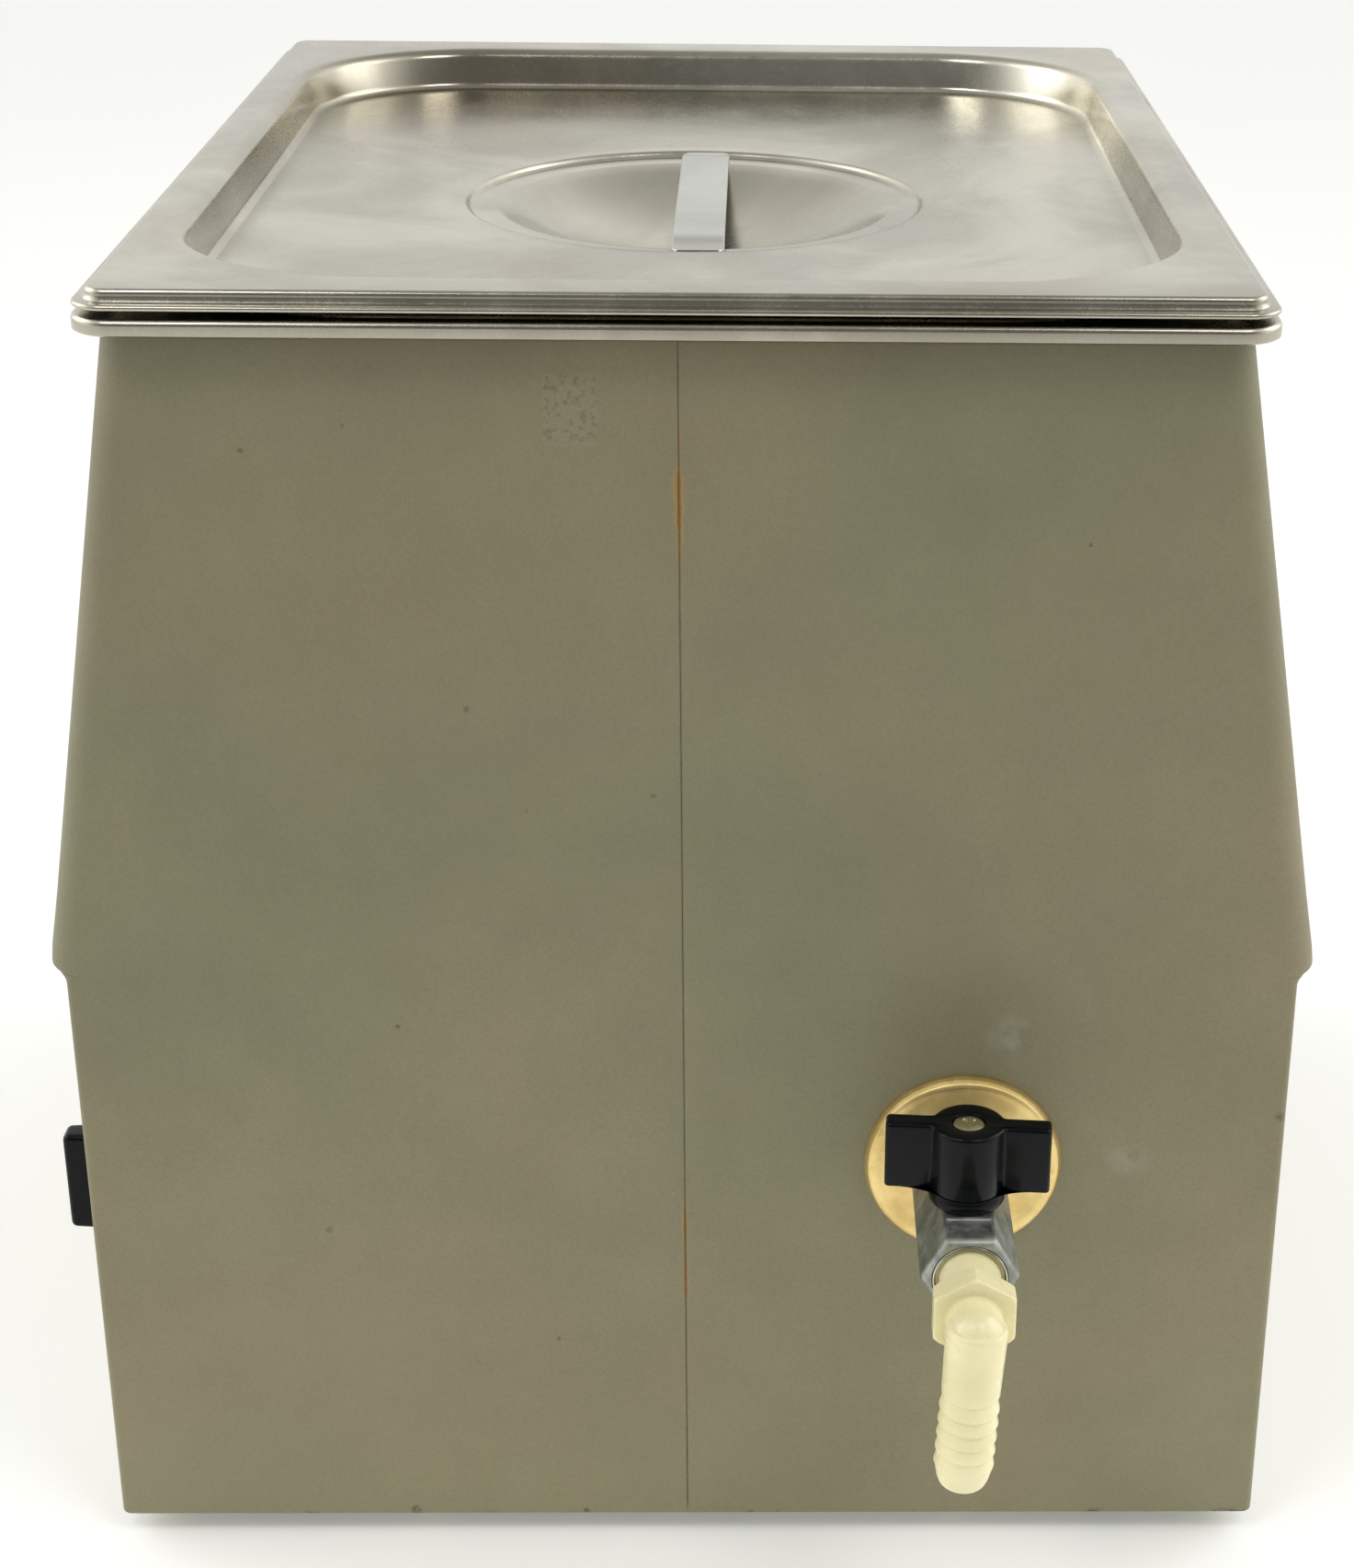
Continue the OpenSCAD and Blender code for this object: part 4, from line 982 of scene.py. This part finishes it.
def insert_piece():
    low, high = low_of("valve_insert").x, high_of("valve_insert").x
    h = high - low
    outline = [(5, 0), (8.97, 0), (8.97, h - 0.5), (8.8, h - 0.12), (8.55, h), (8.45, h - 0.1),
               (8.38, h - 0.4), (8.35, 3.2), (5, 3.2)]
    return valve_turned("valve_end_ring", outline, low)


finish_piece(insert_piece(), BRIGHT, "housing", ["valve_insert"])


def grip_half_width(y, hub, half_t):
    """Half thickness of the grip at y along it: the hub melts into the wings."""
    melt = 1.9
    disc = math.sqrt(max(0, hub ** 2 - y ** 2))
    near = max(melt - abs(disc - half_t), 0) / melt
    return max(disc, half_t) + near * near * melt * 0.25


def grip_outline():
    """The bar grip from above, going round once."""
    half_l, half_t, hub, corner = 19.6, 2.75, 8.75, 1.1
    along = np.concatenate([np.linspace(0, 5, 10), np.linspace(5.4, 12, 18), np.linspace(13, 18.4, 5)])
    quarter = [(grip_half_width(y, hub, half_t), y) for y in along]
    for a in (math.radians(a) for a in np.linspace(0, 90, 6)[1:-1]):
        quarter.append((half_t - corner + corner * math.cos(a), half_l - corner + corner * math.sin(a)))
    quarter += [(half_t - corner, half_l), (0, half_l)]
    outline = quarter + [(-x, y) for x, y in reversed(quarter[:-1])]
    outline += [(-x, -y) for x, y in quarter[1:]]
    return outline + [(x, -y) for x, y in reversed(quarter[1:-1])]


def handle_piece():
    low, high = low_of("valve_handle").z, high_of("valve_handle").z
    wing_low = VALVE_Z + 13.9
    outline = grip_outline()
    lengths = [0]
    for p, q in zip(outline, outline[1:] + outline[:1]):
        lengths.append(lengths[-1] + math.hypot(q[0] - p[0], q[1] - p[1]))
    around = [2 * math.pi * length / lengths[-1] for length in lengths[:-1]]

    def grip(d, z):
        points = []
        for i, (x, y) in enumerate(outline):
            before, after = outline[i - 1], outline[(i + 1) % len(outline)]
            tangent = Vector((after[0] - before[0], after[1] - before[1])).normalized()
            points.append((x - tangent.y * d, y + tangent.x * d, z))
        return points

    def circle(r, z):
        return [(r * math.cos(a), r * math.sin(a), z) for a in around]

    skirt = ((3.08, 9), (3.08, 0), (8.3, 0), (8.9, 0.18), (9.2, 0.7), (9.23, 1.8), (9.05, 2.5), (8.85, 3))
    rings = [circle(r, low + z) for r, z in skirt] + [circle(8.78, wing_low)]
    rings += [grip(0.5, wing_low), grip(0.15, wing_low + 0.15), grip(0, wing_low + 0.5), grip(0, high - 1.5)]
    for a in degrees(15, 105, 15):
        rings.append(grip(1.1 * (1 - math.cos(a)), high - 1.1 * (1 - math.sin(a))))
    rings += [circle(r, high - down) for r, down in ((4.35, 0), (4.1, 0.12), (4, 0.4), (4, 1.42))]
    verts, faces = loft(rings, True, True)
    turn = Matrix.Translation(HANDLE) @ Matrix.Rotation(HANDLE_TURN, 4, "Z")
    return make("drain_handle", [turn @ Vector(v) for v in verts], faces, 40)


finish_piece(handle_piece(), BLACK, "valve_handle", ["valve_handle"])


def cross_screw(name, place, turn, r, head, shank_r, length, arm=0.5):
    """A crowned screw head with a cross recess, standing on the plane of place."""
    shank = [(0, -length), (shank_r, -length), (shank_r, 0)]
    outline = shank + [(r - 0.05, 0), (r, 0.15), (r - 0.15, head * 0.55), (r * 0.72, head * 0.85),
                       (r * 0.4, head * 0.97), (0, head)]
    screw = turned(name, outline, place, turn, 48)
    cuts = []
    for k in range(2):
        spin = turn.to_4x4() @ Matrix.Rotation(math.radians(45 + 90 * k), 4, "Z")
        move = Matrix.Translation(place) @ spin
        tip, wide = (r * 0.3, arm * 0.6, head * 0.2), (r * 0.56, arm, head + 0.5)
        corners = [[move @ Vector((x, y, z)) for x, y in ((-a, -b), (a, -b), (a, b), (-a, b))]
                   for a, b, z in (tip, wide)]
        cuts.append(make("cut", *loft(corners, True, True)))
    return combine(screw, cuts, angle=30)


def handle_screw_piece():
    head = 1.3
    place = Vector((HANDLE.x, VALVE_Y, high_of("handle_screw").z - head))
    return cross_screw("grip_screw", place, Matrix.Rotation(HANDLE_TURN, 3, "Z"), 3.85, head, 1.5, 15)


finish_piece(handle_screw_piece(), SCREW, "valve_handle", ["handle_screw"])


def elbow_neck(start):
    """The threaded neck, with an undercut where it leaves the valve."""
    mouth = high_of("valve_insert").x - start
    end = NUT_X + 0.5 - start
    outline = [(0, 0), (7.9, 0), (8.3, 0.5), (8.3, mouth - 1.6), (7.3, mouth - 1.2), (7.3, end), (0, end)]
    return valve_turned("elbow", outline, start)


def elbow_nut():
    across_flats, thick = 18.9, 6.3
    corner = across_flats / 2 / math.cos(math.radians(30))
    nut = make("cut", *loft([hexagon(x, corner, 90) for x in (NUT_X, NUT_X + thick)], True, True))
    outline = [(0, -0.5), (9.6, -0.5), (11.2, 1.0), (11.2, 5.3), (9.7, 6.8), (0, 6.8)]
    combine(nut, [valve_turned("cut", outline, NUT_X, 96)], "INTERSECT")
    return round_edges(nut, 0.4, 2, 25)


def elbow_boss():
    """The stub between nut and knee, with a round end."""
    reach, r = TAIL_X - NUT_X, 6.5
    dome = [(r * math.cos(a), reach + r * math.sin(a)) for a in degrees(0, 90, 10)]
    outline = [(0, 2), (r + 0.1, 2)] + dome + [(0, reach + r)]
    return valve_turned("cut", outline, NUT_X)


def elbow_leg(knee, tilt):
    """The hose tail, with a round cap above the knee and five barbs."""
    barb_h = 3.85
    cap = [(0, 3), (5.6, 3), (6.5, 2.75), (7.05, 2.1), (7.2, 1.2)]
    outline = cap + [(7.1, -2), (6.95, -8), (6.8, -15.4)]
    for z in (-15.8 - barb_h * k for k in range(5)):
        outline += [(6.25, z), (6.35, z - 0.5), (6.95, z - 3.1), (7.08, z - 3.5), (6.8, z - 3.8)]
    outline += [(6.7, -35.8), (6.1, -38.4), (5.5, -39.9), (4.9, -40.5), (4.1, -40.7), (0, -40.7)]
    return turned("cut", outline, knee, tilt, 72)


def elbow_piece():
    start = low_of("hose_elbow").x
    knee = Vector((TAIL_X, VALVE_Y, VALVE_Z))
    tilt = Matrix.Rotation(math.radians(-3), 3, "X")
    down = tilt @ Vector((0, 0, -1))
    elbow = elbow_neck(start)
    combine(elbow, [elbow_nut(), elbow_boss(), elbow_leg(knee, tilt)], "UNION", 40)
    bores = [valve_bore(start - 1, TAIL_X, ELBOW_BORE), rod("cut", knee, knee + down * 60, ELBOW_BORE)]
    combine(elbow, bores, angle=40)
    remesh = elbow.modifiers.new("remesh", "REMESH")
    remesh.mode = "VOXEL"
    remesh.voxel_size = 0.22 * MM
    soften = elbow.modifiers.new("soften", "SMOOTH")
    soften.factor = 0.5
    soften.iterations = 3
    return settle(elbow, 60)


finish_piece(elbow_piece(), NYLON, "housing", ["hose_elbow"])


# ---- Controls on the front ----


def knob_piece():
    low, high = low_of("thermostat_knob"), high_of("thermostat_knob")
    out = PANEL_Y - low.y
    r = (high.z - low.z) / 2
    place = Vector((KNOB.x, PANEL_Y, CONTROL_Z))
    outline = [(0, 1.6), (r - 0.3, 1.6), (r, 2.0), (r, 3.2), (r - 0.5, 4.2), (r - 2.2, 6.6), (r - 3.4, 8.0),
               (r - 4.4, 8.5), (0, 8.5)]
    knob = turned("temperature_grip", outline, place, TO_FRONT, 96)
    half_l, half_t = 14.7, 4.0
    stations = [(7.5, 0), (12, 0.05)]
    rounding = ((1.6, 0.3), (1.0, 0.42), (0.45, 0.75), (0.12, 1.2), (0, 1.8))
    stations += [(out - back, shrink) for back, shrink in rounding]
    rings = []
    for y, shrink in stations:
        path = ring_path(half_t - shrink, half_l - shrink, 1.6 - shrink * 0.4, 5, (3, 6))
        rings.append([(KNOB.x + x, PANEL_Y - y, CONTROL_Z + z) for x, z in path])
    combine(knob, [make("cut", *loft(rings, True, True))], "UNION", 35)
    behind = place + Vector((0, 1, 0))
    cuts = [rod("cut", behind, place + Vector((0, -deep, 0)), r) for deep, r in ((4.5, 9.5), (15.2, 3.04))]
    mark = (KNOB.x - 0.5, low.y - 1, CONTROL_Z + 5), (KNOB.x + 0.5, low.y + 0.5, CONTROL_Z + 12)
    return combine(knob, cuts + [block("cut", *mark)], angle=35)


finish_piece(knob_piece(), BLACK, "temperature_knob", ["thermostat_knob"])


def pointer_line():
    low = low_of("thermostat_knob")
    half_w = 0.46
    line = block("grip_pointer", (KNOB.x - half_w, low.y + 0.12, CONTROL_Z + 5.1),
                 (KNOB.x + half_w, low.y + 0.9, CONTROL_Z + 11.9))
    return round_edges(line, 0.1, 2)


finish_piece(pointer_line(), SEAL, "temperature_knob")


def scale_piece():
    low, high = low_of("scale_plate"), high_of("scale_plate")
    cx, cz = (low.x + high.x) / 2, (low.z + high.z) / 2
    rings = []
    for y, d in ((high.y, 0), (low.y + 0.15, 0), (low.y, 0.2)):
        rings.append([(cx + x, y, cz + z) for x, z in ring_path(32 - d, 32 - d, 3, 6, (2, 2))])
    plate = make("scale_card", *loft(rings, True, True))
    return combine(plate, [rod("cut", (cx, high.y + 1, cz), (cx, low.y - 1, cz), 5.1)], angle=25)


finish_piece(scale_piece(), DIAL_STEEL, "housing", ["scale_plate"])


def scale_marks():
    """Tick marks round the knob, with a long one at each of the DIAL_STEPS steps of the swing and short ones
    between.
    """
    inner, fine_steps = 20.5, 5
    pieces = []
    for k in range(DIAL_STEPS * fine_steps + 1):
        a = math.radians(DIAL_ZERO - k * DIAL_SWING / DIAL_STEPS / fine_steps)
        outer, w = (24.2, 0.35) if k % fine_steps == 0 else (22.4, 0.22)
        direction, across = Vector((math.cos(a), 0, math.sin(a))), Vector((-math.sin(a), 0, math.cos(a)))
        place = Vector((KNOB.x, low_of("scale_plate").y, CONTROL_Z))
        corners = [place + direction * r + across * side + Vector((0, d, 0))
                   for d in (-0.04, 0.1) for r, side in ((inner, -w), (outer, -w), (outer, w), (inner, w))]
        faces = [(0, 1, 2, 3), (4, 7, 6, 5), (0, 4, 5, 1), (1, 5, 6, 2), (2, 6, 7, 3), (3, 7, 4, 0)]
        pieces.append(make("tick", corners, faces))
    return join("scale_ticks", pieces)


finish_piece(scale_marks(), INK, "housing")


def numeral(text, x, z, size):
    name = "dial_number_" + text
    curve = bpy.data.curves.new(name, "FONT")
    curve.body = text
    curve.size = size * MM
    curve.extrude = 0.05 * MM
    curve.align_x = "CENTER"
    curve.align_y = "CENTER"
    obj = add_object(name, curve)
    obj.rotation_euler = (math.radians(90), 0, 0)
    obj.location = at_mm(x, low_of("scale_plate").y - 0.02, z)
    bpy.context.view_layer.update()
    graph = bpy.context.evaluated_depsgraph_get()
    mesh = bpy.data.meshes.new_from_object(obj.evaluated_get(graph))
    mesh.transform(obj.matrix_world)
    made = add_object(name, mesh)
    bpy.data.objects.remove(obj)
    return finish_piece(made, INK, "housing")


NUMBER_R, NUMBER_H = 27.4, 4.2
for k, text in enumerate(["0", "20", "40", "60", "80", "100"]):
    a = math.radians(DIAL_ZERO - k * 60)
    numeral(text, KNOB.x + NUMBER_R * math.cos(a), CONTROL_Z + NUMBER_R * math.sin(a), NUMBER_H)


def rocker_piece():
    """The rocker, with the same dished shape above and below its pin, tipped to its rest side."""
    pivot = Vector((SWITCH_X, PANEL_Y + 2, CONTROL_Z))
    half_x, pin_r = 8.1, 1.5
    upper = [(-5.95, 10.85), (-5.6, 9.5), (-4.6, 4.5), (-4.15, 0)]
    face = upper + [(y, -z) for y, z in reversed(upper[:-1])]
    back = [(0.2, -9.9), (2.9, -3), (2.9, 3), (0.2, 9.9)]
    turn = Matrix.Rotation(math.radians(8), 3, "X")
    rings = [[pivot + turn @ Vector((x, y, z)) for y, z in face + back] for x in (-half_x, half_x)]
    key = make("power_key", *loft(rings, True, True))
    round_edges(key, 0.45, 3, 25)
    reach = Vector((12, 0, 0))
    return combine(key, [rod("cut", pivot - reach, pivot + reach, pin_r)], angle=35)


finish_piece(rocker_piece(), RED, "power_rocker", ["switch_rocker"])


def lens_piece():
    lamp = middle("lamp_lens")
    low = low_of("lamp_lens").y
    out = PANEL_Y - low
    outline = [(0, -7.9), (4, -7.9), (4, 1.2), (3.9, 1.6), (3.3, 2.3), (2.4, out - 0.45), (1.2, out - 0.1),
               (0, out)]
    return turned("lamp_dome", outline, (lamp.x, PANEL_Y, CONTROL_Z), TO_FRONT, 48)


finish_piece(lens_piece(), AMBER, "housing", ["lamp_lens"])


# ---- Feet and rear screws ----


def feet_piece():
    high = high_of("feet").z
    outline = [(2.1, 3), (4.5, 3), (4.5, 0), (8.4, 0), (8.9, 0.3), (9.1, 1), (10.6, high - 0.8), (11, high),
               (2.1, high)]
    places = [(sx * FOOT_X, sy * FOOT_Y, 0) for sx in (-1, 1) for sy in (-1, 1)]
    return join("rubber_feet", [turned("foot", outline, place, None, 48) for place in places])


finish_piece(feet_piece(), RUBBER, "housing", ["feet"])


def inlet_screw_piece():
    head = 1.6
    y = high_of("inlet_screws").y - head
    places = [Vector((INLET.x + side * INLET_SCREW_X, y, INLET.z)) for side in (-1, 1)]
    screws = [cross_screw("screw", place, TO_REAR, 3, head, 1.6, 10, 0.4) for place in places]
    return join("inlet_fixings", screws)


finish_piece(inlet_screw_piece(), SCREW, "housing", ["inlet_screws"])


# ---- CAD nodes that stay, with softened edges ----

KEPT = {
    ZINC: ["joint_strips", "base_plate", "heater_plate"],
    SCREW: ["base_screws", "foot_screws", "heater_studs", "heater_nuts", "hose_clamps", "thermostat_nut",
            "thermostat_shaft", "bulb_clips", "switch_pin"],
    RUBBER: ["rim_gasket", "drain_gasket", "drain_hose", "stem_seal"],
    FIBRE: ["insulation", "heater_insulation"],
    RIM_STEEL: ["diffuser_shelf"],
    PAD: ["heater_pad"],
    BRASS: ["drain_flange", "drain_nut", "bulkhead_nipple", "bulkhead_nut"],
    SEAL: ["valve_seats"],
    BRIGHT: ["valve_ball", "valve_stem", "pilot_lamp", "inlet_pins"],
    GREY: ["thermostat"],
    COPPER: ["thermostat_bulb"],
    MATT_BLACK: ["thermal_cutout", "switch_body", "power_inlet", "fuse_holder", "fuse_cap"],
    IVORY: ["terminal_block"],
    WIRE: ["wiring"],
}
SOFT_EDGE = {"switch_body": 0.4, "power_inlet": 0.4, "fuse_holder": 0.3, "fuse_cap": 0.3, "pilot_lamp": 0.25,
             "base_screws": 0.2, "diffuser_shelf": 0.2, "bulkhead_nut": 0.5, "drain_nut": 0.5,
             "terminal_block": 0.4}


def keep_node(name, material):
    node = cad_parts[name]
    node.data.materials.clear()
    node.data.materials.append(material)
    weld = node.modifiers.new("weld", "WELD")
    weld.merge_threshold = 0.002 * MM
    width = SOFT_EDGE.get(name)
    if width:
        step = node.modifiers.new("round", "BEVEL")
        step.width = width * MM
        step.segments = 2
        step.limit_method = "ANGLE"
        step.angle_limit = math.radians(40)
    normals = node.modifiers.new("normals", "WEIGHTED_NORMAL")
    normals.keep_sharp = False
    normals.weight = 60
    node.data.polygons.foreach_set("use_smooth", [bool(width)] * len(node.data.polygons))


for material, names in KEPT.items():
    for name in names:
        keep_node(name, material)


# ---- Studio ----

# Brightness of the room from the horizon up to the zenith, how much of it is left towards the camera, and
# what the bright walls to the left and right add
SKY = [(0, 0.92), (0.3, 0.98), (0.45, 1.05), (0.55, 1.0), (0.8, 0.6), (1, 0.42)]
SKY_FRONT = 0.22
SIDE_WALLS = 0.68


def room_light(world):
    world.use_nodes = True
    room = Nodes(world.node_tree, "Generated")
    x, y, z = room.parts()
    height = room.ramp(z, *[(at, (level, level, level * 0.98, 1)) for at, level in SKY])
    walls = room.fade(room.maths("ABSOLUTE", y), 0.35, 0.85, 0, SIDE_WALLS)
    front = room.fade(x, 0.15, 0.75, 1, SKY_FRONT)
    total = room.vector("ADD", height, walls)[0]
    total = room.node("ShaderNodeVectorMath", {0: total, "Scale": front}, operation="SCALE").outputs[0]
    room.feed(world.node_tree.nodes["Background"].inputs["Color"], total)


def bench_top():
    look = Look("bench_top")
    colour = look.mix(look.noise(3, 3), (0.86, 0.86, 0.84, 1), (0.89, 0.89, 0.87, 1))
    return look.set(colour=colour, rough=0.6, bump=look.bump(look.noise(400, 3), 0.1, 0.1), glow=0.2,
                    glow_colour=(1, 1, 0.98, 1))


def studio():
    scene = bpy.context.scene
    scene.view_settings.view_transform = "Standard"
    scene.world = bpy.data.worlds.new("studio")
    room_light(scene.world)
    half, n = 4.0, 8
    row = n + 1
    grid = [(-half + 2 * half * i / n, -half + 2 * half * j / n, 0) for j in range(row) for i in range(row)]
    starts = [j * row + i for j in range(n) for i in range(n)]
    mesh = bpy.data.meshes.new("bench")
    mesh.from_pydata(grid, [], [(at, at + 1, at + row + 1, at + row) for at in starts])
    mesh.materials.append(bench_top())
    add_object("bench", mesh)


def lamp(name, place, target, size, power):
    light = bpy.data.lights.new(name, "AREA")
    light.shape = "RECTANGLE"
    light.size, light.size_y = size
    light.energy = power
    obj = add_object(name, light)
    obj.location = place
    obj.rotation_euler = (Vector(target) - Vector(place)).to_track_quat("-Z", "Y").to_euler()
    obj.visible_camera = False
    return obj


studio()
# Names, places, targets, sizes and watts, in metres in the row frame
lamp("left_softbox", (-0.25, -1.15, 0.9), (0.05, 0, 0.2), (0.9, 0.9), 4.4)
lamp("right_softbox", (-0.25, 1.15, 0.9), (0.05, 0, 0.2), (0.9, 0.9), 4.2)
lamp("left_high", (0.62, -0.42, 1.2), (0.15, 0, 0.15), (0.4, 0.4), 2.6)
lamp("right_high", (0.62, 0.46, 1.2), (0.15, 0, 0.15), (0.4, 0.4), 2.6)
low_strip = lamp("low_front_strip", (0.37, 0.05, 0.03), (0.163, 0, 0.02), (0.9, 0.04), 0.1)
low_strip.visible_glossy = False


# The camera stands in front of the drain end: its place in millimetres, its angles in radians, its lens in
# millimetres on a 36 mm sensor, and the shift that frames the picture
CAMERA_AT = (772.48, 18.0, 492.63)
YAW, PITCH, ROLL = 0.02447, 0.423178, 0.0136537
SENSOR = 36
LENS = 65.954279
SHIFT = (-0.09355217, 0.0099062137)


def camera():
    ahead = Vector((-math.cos(YAW) * math.cos(PITCH), math.sin(YAW) * math.cos(PITCH), -math.sin(PITCH)))
    level = Vector((math.sin(YAW), math.cos(YAW), 0))
    rise = level.cross(ahead)
    right = level * math.cos(ROLL) + rise * math.sin(ROLL)
    up = rise * math.cos(ROLL) - level * math.sin(ROLL)
    data = bpy.data.cameras.new("camera")
    data.sensor_width = SENSOR
    data.lens = LENS
    data.shift_x, data.shift_y = SHIFT
    data.clip_start, data.clip_end = 0.05, 20
    obj = add_object("camera", data)
    turn = Matrix((right, up, -ahead)).transposed().to_4x4()
    obj.matrix_world = Matrix.Translation(at_mm(*CAMERA_AT)) @ turn
    bpy.context.scene.camera = obj


camera()
